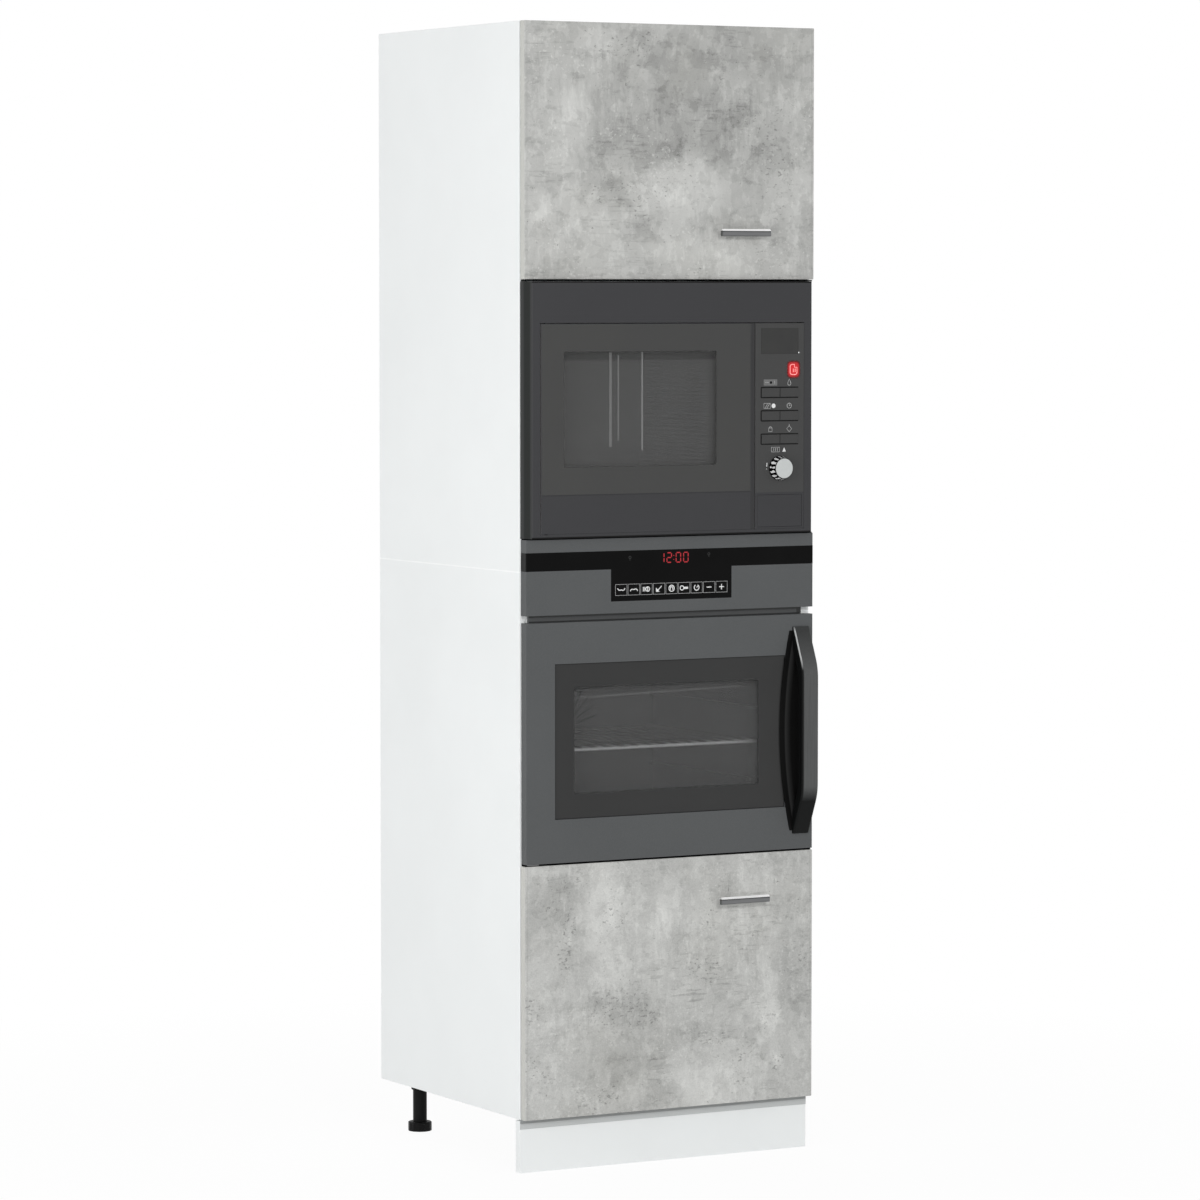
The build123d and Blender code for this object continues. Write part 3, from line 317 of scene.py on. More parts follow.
# Cupboard doors: chipboard with a printed concrete laminate, mottled, pitted and smeared like
# cast concrete, and plain grey edge strips glued round the four sides.
shader, place = begin_finish("concrete_laminate", {"Specular IOR Level": 0.25})
x, y, z = axes(place)
wander = cloud(place, 9.0, 5.0)
wander_up = cloud(place, 9.0, 5.0, shift=(3.1, 0.0, 5.7))
warped_x = x + 0.16 * (wander - 0.5)
warped_z = z + 0.16 * (wander_up - 0.5)


def oval(middle_x, middle_z, half_width, half_height, edge, core):
    """1 inside an oval with a wavering edge, and 0 outside it."""
    across = (warped_x - middle_x) * (1 / half_width)
    along = (warped_z - middle_z) * (1 / half_height)
    return rise(across * across + along * along, edge, core)


patches = [
    (-0.033, 1.857, 0.200, 0.070, -0.34), (0.046, 1.985, 0.170, 0.080, -0.24),
    (-0.213, 1.871, 0.045, 0.075, 0.34), (-0.121, 2.008, 0.050, 0.035, 0.32),
    (-0.193, 1.684, 0.120, 0.080, 0.26), (0.026, 1.738, 0.070, 0.055, 0.36),
    (0.266, 1.753, 0.060, 0.060, 0.24), (0.090, 1.632, 0.150, 0.045, 0.28),
    (-0.130, 1.735, 0.060, 0.030, -0.20), (0.200, 1.800, 0.080, 0.060, -0.12),
    (-0.130, 0.440, 0.035, 0.120, 0.34), (-0.250, 0.466, 0.060, 0.045, -0.30),
    (-0.099, 0.288, 0.070, 0.040, -0.24), (0.093, 0.447, 0.140, 0.055, 0.22),
    (0.207, 0.275, 0.022, 0.100, 0.32), (-0.113, 0.193, 0.080, 0.045, -0.24),
    (0.102, 0.130, 0.080, 0.030, 0.28), (0.106, 0.226, 0.080, 0.022, -0.24),
    (-0.264, 0.242, 0.045, 0.090, 0.16), (0.270, 0.330, 0.040, 0.120, -0.16),
]
low_door = z < 1.2
value = 0.465 + 0.100 * low_door + 0.35 * (cloud(place, 5.0, 4.0) - 0.5)
for *patch, strength in patches:
    value = value + 0.6 * strength * oval(*patch, 1.5, 0.2)
crumble = cloud(place, 22.0, 12.0, rough=0.74)
skins = rise(cloud(place, 13.0, 8.0, (1.4, 1.0, 0.8), (2.0, 3.0, 8.0), 0.58), 0.525, 0.54)
scuffs = rise(cloud(place, 17.0, 8.0, (1.0, 1.0, 1.3), (6.0, 1.0, 2.0), 0.6), 0.555, 0.57)
pale_chips = rise(cloud(place, 34.0, 7.0, (1.3, 1.0, 0.8), (5.0, 9.0, 1.0), 0.58), 0.555, 0.58)
dark_chips = rise(cloud(place, 38.0, 7.0, (0.8, 1.0, 1.3), (8.0, 4.0, 7.0), 0.6), 0.57, 0.595)
mottle = 0.43 * (crumble - 0.5) + 0.094 * (skins - scuffs) + 0.094 * (pale_chips - dark_chips)
value = value + mottle * (1.0 - 0.08 * low_door)
smears = cloud(place, 1.0, 8.0, (95.0, 30.0, 20.0), rough=0.66)
smear_zone = rise(cloud(place, 8.0, 5.0, shift=(7.3, 0.0, 1.9)), 0.52, 0.58)
value = value + 0.09 * smear_zone * (rise(smears, 0.54, 0.6) - rise(smears, 0.46, 0.4))
creases = rise(cloud(place, 1.0, 6.0, (26.0, 20.0, 230.0), rough=0.6), 0.56, 0.62)
crease_zone = rise(cloud(place, 9.0, 4.0, shift=(1.7, 4.0, 9.2)), 0.53, 0.6)
sand = cloud(place, 420.0, 3.0)
value = value - (0.14 + 0.08 * low_door) * crease_zone * creases + (0.17 + 0.20 * low_door) * (sand - 0.5)
grit = cloud(place, 120.0, 8.0, (1.0, 1.0, 1.6), (1.0, 5.0, 3.0), 0.8)
value = value + 0.42 * low_door * (grit - 0.5)
worn_spots = [
    (0.153, 1.857, 0.050, 0.028), (0.204, 1.808, 0.045, 0.040), (-0.099, 1.743, 0.080, 0.020),
    (-0.029, 1.710, 0.030, 0.035), (0.212, 1.745, 0.030, 0.040), (-0.110, 2.000, 0.080, 0.022),
    (-0.107, 0.285, 0.075, 0.040), (0.209, 0.173, 0.020, 0.028), (0.075, 0.341, 0.030, 0.022),
    (-0.214, 0.414, 0.018, 0.045), (0.103, 0.211, 0.040, 0.022), (-0.126, 0.143, 0.030, 0.028),
]
worn = rise(cloud(place, 10.0, 6.0, shift=(2.2, 6.0, 4.4), rough=0.65), 0.55, 0.64)
for spot in worn_spots:
    worn = worn + oval(*spot, 1.6, 0.3)
pits = cloud(place, 150.0, 4.0, (0.75, 1.0, 1.25), rough=0.66) + 0.02 * low_door
pits = rise(pits, 0.585, 0.625) * rise(worn, 0.0, 1.0)
bubbles = rise(cloud(place, 170.0, 2.0, shift=(3.0, 7.0, 2.0)), 0.72, 0.75)
flecks = rise(cloud(place, 170.0, 4.0, shift=(4.0, 8.0, 6.0), rough=0.6), 0.6, 0.64)
flecks = flecks * rise(cloud(place, 9.0, 5.0, shift=(9.0, 1.0, 3.0), rough=0.6), 0.5, 0.58)
cement = tint(rise(value, 0.0, 1.0), (126, 126, 124), (219, 219, 216))
warm = rise(cloud(place, 5.0, 3.0, shift=(5.0, 2.0, 7.0)), 0.5, 0.75)
cement = tint(0.12 * warm, cement, (190, 188, 178))
cement = tint(0.5 * pits, cement, (98, 98, 96))
cement = tint(0.5 * bubbles, cement, (92, 92, 90))
cement = tint(0.4 * flecks, cement, (222, 222, 219))
seam = rise(abs(abs(x) - 0.2935), 0.0012, 0.0002)
cement = tint(0.22 * seam, cement, (128, 128, 124))
strip = (y > -0.2654) * (y < -0.2506)
strip_colour = mottled(sand, (196, 196, 191), (203, 203, 198))
feed(shader, {
    "Base Color": tint(strip, cement, strip_colour),
    "Roughness": 0.5 + 0.18 * sand,
    "Normal": relief(sand + 1.6 * crumble - 2.5 * pits, 0.00006),
})
dress("concrete_board", "concrete_laminate")


# Bar handles of the cupboards: brushed steel bars on two round posts, screwed on from inside.
# The brushing runs along the bar. The broad bevel along the top is painted near white as a highlight,
# with a painted shade line just under it.
bar_bevel = 0.0034
shader, place = begin_finish("brushed_bar", {"Metallic": 1.0})
x, y, z = axes(place)
brushing = cloud(place, 1.0, 4.0, (30.0, 1500.0, 1500.0))
wiped = cloud(place, 25.0)
# Near white on the bevel is a painted highlight, and the darker band under it is painted shade.
bevel_highlight, bevel_shade_line = 0.0, 0.0
for bar_name in ("upper_handle", "lower_handle"):
    bar_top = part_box(bar_name)[1].z
    bevel_highlight = bevel_highlight + (z > bar_top - bar_bevel) * (z < bar_top + 0.001)
    bevel_shade_line = bevel_shade_line + (z > bar_top - bar_bevel - 0.0020) * (z < bar_top - bar_bevel)
brushed = mottled(brushing, (110, 111, 112), (128, 129, 130))
feed(shader, {
    "Base Color": tint(bevel_highlight, tint(bevel_shade_line, brushed, (84, 85, 86)), (252, 252, 252)),
    "Roughness": 0.24 + 0.14 * brushing + 0.08 * wiped,
    "Normal": relief(brushing, 0.00002),
})
dress("bar_steel", "brushed_bar")


# Sheet cases of both appliances: galvanised steel, folded and spot-welded, with the flowered
# spangle that the hot zinc leaves. They slide into the niches from the front.
shader, place = begin_finish("galvanised_sheet", {"Specular IOR Level": 0.5})
flower = 1.0 * place.node("ShaderNodeTexVoronoi", None, {"Vector": place, "Scale": 60.0}, output="Color")
oxide = cloud(place, 8.0, 5.0)
feed(shader, {
    "Base Color": tint(flower, (150, 153, 156), (186, 188, 190)),
    "Metallic": 0.75 + 0.2 * flower,
    "Roughness": 0.36 + 0.16 * flower + 0.2 * (oxide - 0.5),
    "Normal": relief(flower, 0.00004),
})
dress("case_sheet", "galvanised_sheet")


# Microwave cavity: pressed steel in light grey enamel. The rear wall is slotted for the fan, and a
# sheet of mica is clipped to the right wall over the mouth of the wave guide.
def print_lines(name, front, width, lines, finish, body):
    """Printed lines through (x, z) points on a front, as one flat raised piece."""
    drawing = bpy.data.curves.new(name, "CURVE")
    drawing.dimensions = "3D"
    drawing.bevel_depth = width / 2
    drawing.bevel_resolution = 2
    drawing.use_fill_caps = True
    for points, closed in lines:
        line = drawing.splines.new("POLY")
        line.points.add(len(points) - 1)
        for spot, (x, z) in zip(line.points, points):
            spot.co = (x, 0.0, z, 1.0)
        line.use_cyclic_u = closed
    piece = bpy.data.objects.new(name, drawing)
    bpy.context.scene.collection.objects.link(piece)
    bpy.ops.object.select_all(action="DESELECT")
    piece.select_set(True)
    bpy.context.view_layer.objects.active = piece
    bpy.ops.object.convert(target="MESH")
    piece = bpy.context.object
    piece.scale = (1.0, 0.0003 / width, 1.0)
    piece.location = (0.0, front, 0.0)
    bpy.ops.object.transform_apply(location=True, rotation=True, scale=True)
    mount(piece, finish, body)
    return piece


def stroke(start_x, start_z, end_x, end_z):
    """One straight printed line."""
    return [(start_x, start_z), (end_x, end_z)], False


shader, place = begin_finish("light_enamel_coat", {"Specular IOR Level": 0.45})
orange_peel = cloud(place, 220.0)
grime = cloud(place, 7.0, 5.0)
feed(shader, {
    "Base Color": mottled(grime, (176, 176, 174), (190, 190, 188), 0.35, 0.7),
    "Roughness": 0.25 + 0.2 * orange_peel,
    "Normal": relief(orange_peel, 0.0001),
})
dress("light_enamel", "light_enamel_coat")

slot_heights = [1.4000 + 0.0085 * number for number in range(9)]
slot_lines = [stroke(-0.2200, slot_z, -0.1300, slot_z) for slot_z in slot_heights]
print_lines("microwave_fan_slots", 0.1100, 0.0044, slot_lines, "black_moulding", "cabinet")
shader, place = begin_finish("mica_sheet", {"Specular IOR Level": 0.4})
leaf = cloud(place, 40.0, 6.0, rough=0.6)
feed(shader, {
    "Base Color": mottled(leaf, (176, 172, 162), (192, 188, 178)),
    "Roughness": 0.3 + 0.3 * leaf,
    "Normal": relief(leaf, 0.0001),
})
mica = block("microwave_mica_cover", (0.1438, -0.1200, 1.3600), (0.1449, -0.0100, 1.4350))
pick_edges(mica, lambda a, b: abs(a.x - b.x) > 0.0005)
bpy.ops.mesh.bevel(offset=0.0060, segments=5, affect="EDGES")
mount(mica, "mica_sheet", "cabinet")


# Turntable: a pressed clear glass plate with a rim, greenish where it is thick. It lies on the
# roller ring, which follows it at half its speed.
shader, place = begin_finish("pressed_glass", {"Specular IOR Level": 0.5, "IOR": 1.5})
ripple = cloud(place, 45.0)
feed(shader, {
    "Base Color": mottled(ripple, (196, 214, 210), (222, 232, 230)),
    "Alpha": 0.3 + 0.2 * ripple,
    "Roughness": 0.05 + 0.08 * ripple,
    "Normal": relief(ripple, 0.0003),
})
dress("plate_glass", "pressed_glass")


# Microwave surround, door tray, control column and release: graphite moulded plastic with a fine
# grain. The surround is screwed over the niche, and the tray hangs on two pins at its left.
# Two thin sills of the same plastic close the slot under the door.
shader, place = begin_finish("graphite_moulding", {"Specular IOR Level": 0.2})
x, y, z = axes(place)
grain = cloud(place, 1100.0, 3.0)
batch = cloud(place, 4.0)
tray_front, glass_seat = -0.2746, -0.2719
bevel_side = rise(x, -0.2885, -0.2895)
# The outer bevel is painted darker in its middle as painted shade.
bevel_painted_shade = rise(y, -0.2555, -0.2590) * rise(y, -0.2728, -0.2700)
bevel = tint(bevel_painted_shade, (57, 58, 58), (35, 37, 36))
# A paler line along the front edge of the bevel is a painted highlight.
bevel_edge_highlight = rise(abs(x + 0.2878), 0.0016, 0.0006) * (y < -0.2740)
# Walls of the door's gaps and of the window hole are painted lighter, as painted light against their shade.
painted_wall_light = rise(abs(x + 0.2705), 0.0008, 0.0004) * (y > tray_front)
painted_wall_light = painted_wall_light + 1.3 * rise(abs(x - 0.0900), 0.0006, 0.0003) * (y > glass_seat)
painted_wall_light = painted_wall_light + 0.9 * rise(abs(z - 1.2605), 0.0006, 0.0003) * (y > glass_seat)
painted_wall_light = painted_wall_light + 0.6 * rise(abs(x - 0.1705), 0.0006, 0.0003) * (y > tray_front)
overlay = (x > 0.1705) * (x < 0.2730) * (z > 1.2095) * (z < 1.5160)
face = mottled(batch, (59, 59, 61), (61, 61, 63))
face = tint(overlay, face, (68, 68, 68))
latch_band = (x > 0.1602) * (x < 0.1690) * (z > 1.1435) * (z < 1.5160)
# Near-black bands along the top and bottom edges of the surround are painted shade of the gaps.
trim_edge_shade = rise(abs(z - 1.3635), 0.2250, 0.2257)
ledge = rise(abs(z - 1.2118), 0.0016, 0.0008) * (abs(x + 0.0550) < 0.2145)
face = tint(latch_band, face, (54, 54, 55))
face = tint(0.5 * ledge, face, (44, 44, 45))
face = tint(0.5 * bevel_edge_highlight, face, (74, 74, 75))
face = tint(painted_wall_light, face, (138, 138, 138))
face = tint(trim_edge_shade, face, (9, 9, 9))
feed(shader, {
    "Base Color": tint(bevel_side, face, bevel),
    "Roughness": 0.48 + 0.14 * grain,
    "Normal": relief(grain, 0.00006),
})
dress("graphite_plastic", "graphite_moulding")
for sill_name, sill_start, sill_end in (("left", -0.2722, -0.2632), ("right", -0.2578, 0.2728)):
    sill = block(f"microwave_sill_{sill_name}", (sill_start, -0.2749, 1.14205), (sill_end, -0.2660, 1.14330))
    pick_edges(sill, lambda a, b: max(a.y, b.y) < -0.2740 and min(a.z, b.z) > 1.1430)
    bpy.ops.mesh.bevel(offset=0.0002, segments=3, affect="EDGES")
    mount(sill, "graphite_moulding", "cabinet")

shader, place = begin_finish("button_moulding", {"Specular IOR Level": 0.2})
grain = cloud(place, 1100.0, 3.0)
feed(shader, {
    "Base Color": mottled(grain, (63, 63, 63), (68, 68, 68)),
    "Roughness": 0.42 + 0.14 * grain,
    "Normal": relief(grain, 0.00006),
})
dress("button_plastic", "button_moulding")


# Microwave door glass: smoked glass glued to the tray, printed solid round the window. Behind the
# window a punched steel screen keeps the waves in. Three pale strips on the screen are painted
# highlights for bright streaks of reflected light.
window_middle = (-0.0680, 1.36425)
window_half = (0.1580, 0.10375)
shader, place = begin_finish("smoked_pane", {"Specular IOR Level": 0.2})
x, y, z = axes(place)
printed = rise(abs(x - window_middle[0]), window_half[0] - 0.003, window_half[0])
printed = printed + rise(abs(z - window_middle[1]), window_half[1] - 0.003, window_half[1])
printed = rise(printed, 0.0, 1.0)
streak = cloud(place, 6.0)
feed(shader, {
    "Base Color": mottled(streak, (66, 66, 66), (68, 68, 67)),
    "Alpha": 0.35 + 0.65 * printed,
    "Roughness": 0.1 + 0.1 * streak,
})
dress("smoked_glass", "smoked_pane")

hole_pitch = 0.0024
shader, place = begin_finish("punched_screen", {"Specular IOR Level": 0.2})
x, y, z = axes(place)
row = z * (1 / hole_pitch)
step = row - row.reckon("FLOOR", row)
column = x * (1 / hole_pitch) + 0.5 * row.reckon("FLOORED_MODULO", row.reckon("FLOOR", row), 2.0)
slide = column - column.reckon("FLOOR", column)
hole = (step - 0.5) * (step - 0.5) + (slide - 0.5) * (slide - 0.5)
sheet = rise(hole, 0.14, 0.17)
mist = cloud(place, 12.0)
# The screen is painted darker along its top as a painted shadow of the window's edge, and lighter near the window's
# sides and bottom as painted light.
painted_top_shadow = rise(z, 1.4490, 1.4530)
painted_edge_light = rise(abs(x - window_middle[0]), window_half[0] - 0.030, window_half[0])
painted_edge_light = rise(painted_edge_light + rise(window_middle[1] - z, window_half[1] - 0.030, window_half[1]), 0.0, 1.0)
spray = mottled(mist, (178, 178, 178), (184, 184, 184))
spray = tint(painted_edge_light, spray, (198, 198, 198))
feed(shader, {
    "Base Color": tint(painted_top_shadow, spray, (146, 146, 146)),
    "Alpha": sheet,
    "Roughness": 0.4 + 0.2 * mist,
})
dress("screen_metal", "punched_screen")

shader, place = begin_finish("bead_highlight_paint", {"Specular IOR Level": 0.6})
x, y, z = axes(place)
rolled = cloud(place, 1.0, 3.0, (900.0, 900.0, 20.0))
# The strips' pale colour is a painted highlight, and the right strip is painted brighter.
brighter_highlight = x > -0.080
feed(shader, {
    "Base Color": tint(brighter_highlight, (224, 224, 224), (250, 250, 250)),
    "Metallic": 0.3 * brighter_highlight,
    "Roughness": 0.2 + 0.12 * rolled,
})
screen_front = -0.2522
for bead_name, bead_x, bead_width, bead_foot, bead_top in (
    ("left", -0.1173, 0.0052, 1.2960, 1.4650),
    ("middle", -0.1014, 0.0026, 1.3070, 1.4600),
    ("right", -0.0525, 0.0034, 1.2890, 1.4660),
):
    half = bead_width / 2
    bead = block(
        f"microwave_screen_bead_{bead_name}",
        (bead_x - half, screen_front - 0.0012, bead_foot), (bead_x + half, screen_front - 0.0001, bead_top),
    )
    pick_edges(bead, lambda a, b: a.y < screen_front - 0.001 and b.y < screen_front - 0.001)
    bpy.ops.mesh.bevel(offset=0.0009, segments=4, affect="EDGES")
    mount(bead, "bead_highlight_paint", "microwave_door")


# Microwave display: a dark glass plate let into a shallow recess at the top of the control column,
# with a tiny white lamp at its lower right corner.
shader, place = begin_finish("display_pane", {"Specular IOR Level": 0.2})
depth_tone = cloud(place, 30.0)
feed(shader, {
    "Base Color": mottled(depth_tone, (54, 54, 54), (57, 57, 56)),
    "Roughness": 0.12 + 0.1 * depth_tone,
})
display_gap = 0.0002
recess_floor, panel_front = -0.274, -0.275
display = block(
    "microwave_display",
    (0.18225 + display_gap, panel_front, 1.4601 + display_gap),
    (0.26125 - display_gap, recess_floor - 0.0001, 1.5071 - display_gap),
)
pick_faces(display, lambda centre, normal: normal.y < -0.9)
bpy.ops.mesh.inset(thickness=0.0012)
bpy.ops.transform.translate(value=(0.0, 0.0003, 0.0))
mount(display, "display_pane", "cabinet")

shader, place = begin_finish("white_lamp", {"Emission Strength": 1.0})
lamp_core = cloud(place, 900.0)
feed(shader, {
    "Base Color": tint(lamp_core, (190, 190, 190), (230, 230, 230)),
    "Emission Color": tint(lamp_core, (120, 120, 120), (170, 170, 170)),
    "Roughness": 0.3 + 0.2 * lamp_core,
})
lamp_place = (0.2620, -0.2750, 1.4625)
bpy.ops.object.select_all(action="DESELECT")
bpy.ops.mesh.primitive_uv_sphere_add(segments=20, ring_count=12, radius=0.0013, location=lamp_place)
lamp = bpy.context.object
lamp.name = "microwave_lamp"
lamp.scale = (1.0, 0.35, 1.0)
bpy.ops.object.transform_apply(location=True, rotation=True, scale=True)
pick_faces(lamp, lambda centre, normal: normal.y < -0.93)
bpy.ops.mesh.inset(thickness=0.0002)
bpy.ops.transform.translate(value=(0.0, 0.0001, 0.0))
mount(lamp, "white_lamp", "cabinet")


# Printed signs of the control column: pale screen-printed pictograms over the keys, a scale beside
# the knob, and a red lit sign with its glow. The ink stands a hair proud of the plastic, and black
# lines round the rows of keys are painted shade in the gaps round them.
def printing_ink(name, dark, light):
    """A matt screen-printing ink between two screen colours."""
    shader, place = begin_finish(name, {"Specular IOR Level": 0.2})
    ink = cloud(place, 700.0)
    feed(shader, {"Base Color": mottled(ink, dark, light, 0.35, 0.65), "Roughness": 0.5 + 0.2 * ink})


def arc(x, z, radius, start, end, steps=12):
    """Points of an arc round (x, z), in degrees from +X towards +Z."""
    points = []
    for number in range(steps + 1):
        angle = math.radians(start + (end - start) * number / steps)
        points.append((x + radius * math.cos(angle), z + radius * math.sin(angle)))
    return points


def outline(x, z, half_width, half_height):
    """The corners of an upright rectangle round (x, z)."""
    return [
        (x - half_width, z - half_height), (x + half_width, z - half_height),
        (x + half_width, z + half_height), (x - half_width, z + half_height),
    ]


printing_ink("pale_ink", (150, 150, 150), (186, 186, 186))
printing_ink("white_ink", (214, 214, 214), (240, 240, 240))
printing_ink("grey_ink", (106, 106, 106), (122, 122, 122))
left_x, right_x = 0.2022, 0.2420
top_z, middle_z, low_z = 1.4085, 1.3662, 1.3242
drop_tip = [(right_x - 0.0026, top_z + 0.001), (right_x, top_z + 0.0062), (right_x + 0.0026, top_z + 0.001)]
diamond = [(right_x - 0.0054, low_z), (right_x, low_z + 0.0054), (right_x + 0.0054, low_z), (right_x, low_z - 0.0054)]
signs = [
    stroke(left_x - 0.0115, top_z, left_x - 0.0035, top_z),
    stroke(left_x + 0.0085, top_z - 0.003, left_x + 0.0085, top_z + 0.003),
    (arc(right_x, top_z - 0.0018, 0.0034, 130, 410), False),
    (drop_tip, False),
    (outline(left_x - 0.0070, middle_z, 0.0068, 0.0046), True),
    stroke(left_x - 0.0110, middle_z - 0.004, left_x - 0.0060, middle_z + 0.004),
    stroke(left_x - 0.0070, middle_z - 0.004, left_x - 0.0020, middle_z + 0.004),
    (arc(right_x, middle_z, 0.0046, 0, 345, 20), True),
    stroke(right_x, middle_z, right_x, middle_z + 0.0030),
    stroke(right_x, middle_z, right_x + 0.0022, middle_z),
    (outline(left_x, low_z - 0.0015, 0.0036, 0.0032), True),
    (arc(left_x, low_z + 0.0017, 0.0025, 0, 180, 8), False),
    (diamond, True),
    stroke(right_x, low_z + 0.0054, right_x, low_z + 0.0082),
    (outline(0.2130, 1.2868, 0.0085, 0.0042), True),
    stroke(0.2090, 1.2840, 0.2090, 1.2896),
    stroke(0.2130, 1.2840, 0.2130, 1.2896),
    stroke(0.2170, 1.2840, 0.2170, 1.2896),
]
print_lines("microwave_signs", panel_front, 0.0011, signs, "pale_ink", "cabinet")
scale_lines = [stroke(0.1946, 1.2560, 0.1953, 1.2630), stroke(0.1944, 1.2512, 0.1944, 1.2522)]
print_lines("microwave_knob_scale", panel_front, 0.0017, scale_lines, "white_ink", "cabinet")

# Black lines round each row of keys are painted shade in the gaps.
key_left, key_right, key_half_height = 0.1826, 0.2610, 0.0092
key_shade_lines = []
for key_row_z in (1.3905, 1.3482, 1.3060):
    key_top, key_foot = key_row_z + key_half_height, key_row_z - key_half_height
    key_shade_lines.append(stroke(key_left, key_top, key_right, key_top))
    key_shade_lines.append(stroke(key_left, key_foot, key_right, key_foot))
    key_shade_lines.append(stroke(key_left, key_foot, key_left, key_top))
print_lines("microwave_key_shade_lines", panel_front, 0.0022, key_shade_lines, "black_moulding", "cabinet")


def print_patch(name, front, points, finish, body, proud=0.0001):
    """A printed filled shape with corners at (x, z), as a thin raised plate with softened edges."""
    bpy.ops.object.select_all(action="DESELECT")
    bpy.ops.mesh.primitive_circle_add(vertices=len(points), radius=0.01, fill_type="NGON")
    piece = bpy.context.object
    piece.name = name
    for corner, (x, z) in zip(piece.data.vertices, points):
        corner.co = (x, front + 0.0001, z)
    bpy.ops.object.mode_set(mode="EDIT")
    bpy.ops.mesh.select_all(action="SELECT")
    bpy.ops.mesh.extrude_region_move(TRANSFORM_OT_translate={"value": (0.0, -proud - 0.0001, 0.0)})
    bpy.ops.mesh.inset(thickness=0.0001)
    bpy.ops.mesh.select_all(action="SELECT")
    bpy.ops.mesh.normals_make_consistent(inside=False)
    mount(piece, finish, body)
    return piece


for sign_name, sign_front, sign_points, sign_finish, sign_slot in (
    ("plate", panel_front, outline(left_x, top_z, 0.0142, 0.0056), "grey_ink", "button_plastic"),
    ("spot", panel_front - 0.0001, arc(left_x + 0.0010, top_z, 0.0026, 0, 345, 23), "black_moulding", "black_plastic"),
    ("dot", panel_front, arc(left_x + 0.0065, middle_z, 0.0042, 0, 345, 23), "white_ink", "button_plastic"),
    ("arrow", panel_front, [(0.2275, 1.2828), (0.2350, 1.2828), (0.2312, 1.2905)], "white_ink", "button_plastic"),
):
    print_patch(f"microwave_sign_{sign_name}", sign_front, sign_points, sign_finish, "cabinet")

shader, place = begin_finish("red_glow", {"Emission Strength": 1.0, "Base Color": (0.01, 0.0, 0.0, 1.0)})
x, y, z = axes(place)
lit_x, lit_z = 0.2509, 1.4318
glow_half = (0.0150, 0.0170)
across = (x - lit_x) * (1 / glow_half[0])
along = (z - lit_z) * (1 / glow_half[1])
away = across * across * across * across + along * along * along * along
core = rise(away, 0.6, 0.0)
shimmer = cloud(place, 500.0)
feed(shader, {
    "Emission Color": tint(core, (96, 8, 12), (214, 14, 24)),
    "Alpha": rise(away, 1.0, 0.3) * (0.9 + 0.15 * shimmer),
    "Roughness": 0.4 + 0.2 * shimmer,
})
print_patch(
    "microwave_lit_glow", panel_front, outline(lit_x, lit_z, *glow_half),
    "red_glow", "cabinet",
)
shader, place = begin_finish("lit_sign", {"Emission Strength": 1.0})
shimmer = cloud(place, 600.0)
feed(shader, {
    "Base Color": tint(shimmer, (120, 60, 60), (160, 90, 90)),
    "Emission Color": mottled(shimmer, (238, 120, 118), (255, 186, 182), 0.35, 0.65),
    "Roughness": 0.4 + 0.2 * shimmer,
})
lit_lines = [
    (arc(lit_x - 0.0030, lit_z + 0.0050, 0.0042, 90, 180, 6) + arc(lit_x - 0.0030, lit_z - 0.0050, 0.0042, 180, 270, 6)
     + arc(lit_x + 0.0030, lit_z - 0.0050, 0.0042, 270, 360, 6) + [(lit_x + 0.0072, lit_z + 0.0040)]
     + [(lit_x + 0.0018, lit_z + 0.0040), (lit_x + 0.0018, lit_z + 0.0092)], True),
    stroke(lit_x - 0.0005, lit_z - 0.0048, lit_x - 0.0005, lit_z + 0.0016),
    stroke(lit_x + 0.0034, lit_z - 0.0048, lit_x + 0.0034, lit_z + 0.0016),
]
print_lines("microwave_lit_sign", panel_front - 0.0002, 0.0017, lit_lines, "lit_sign", "cabinet")


# Microwave knob: a plated cap with a satin pale face and a flared side with grip ribs. The side's near
# black and its white ribs are painted reflections of chrome. It is pushed on the shaft of the timer,
# and it turns without a stop.
knob_x, knob_z, knob_face = 0.22175, 1.2530, -0.2910
rib_count = 15
shader, place = begin_finish("plated_cap", {"Specular IOR Level": 0.5})
x, y, z = axes(place)
around = (x - knob_x) * (x - knob_x) + (z - knob_z) * (z - knob_z)
face = (y < knob_face) * rise(around, 0.0180 ** 2, 0.0176 ** 2)
turned = cloud(place, 1.0, 3.0, (300.0, 3000.0, 300.0))
angle = (z - knob_z).reckon("ARCTAN2", z - knob_z, x - knob_x)
# Besides their relief, the ribs carry white painted reflections on a near-black side.
grip_ribs_and_glints = angle.reckon("SINE", rib_count * angle) + 5.0 * (cloud(place, 150.0, 2.0) - 0.5)
grip_ribs_and_glints = rise(grip_ribs_and_glints, 0.25, 0.5) * rise(abs(y + 0.2840), 0.0068, 0.0058)
painted_chrome_side = tint(grip_ribs_and_glints, (14, 14, 15), (250, 250, 251))
feed(shader, {
    "Base Color": tint(face, painted_chrome_side, (199, 202, 201)),
    "Metallic": 1.0 - 0.75 * rise(face + grip_ribs_and_glints, 0.0, 1.0),
    "Roughness": 0.12 + 0.08 * turned + 0.3 * face,
    "Normal": relief(turned + 4.0 * grip_ribs_and_glints, 0.00002),
})
dress("knob_metal", "plated_cap")


# Oven cavity: pressed steel in dark enamel with fine pale speckles. A woven seal lies round its
# mouth, and a chrome wire rack rests on pressed ledges. A slotted fan cover and the glass of the
# lamp are fixed to the rear wall.
shader, place = begin_finish("speckled_enamel", {"Specular IOR Level": 0.4})
speck = place.node("ShaderNodeTexVoronoi", None, {"Vector": place, "Scale": 420.0}, output="Distance")
speck = rise(speck, 0.22, 0.12)
baked = cloud(place, 6.0, 5.0)
x, y, z = axes(place)
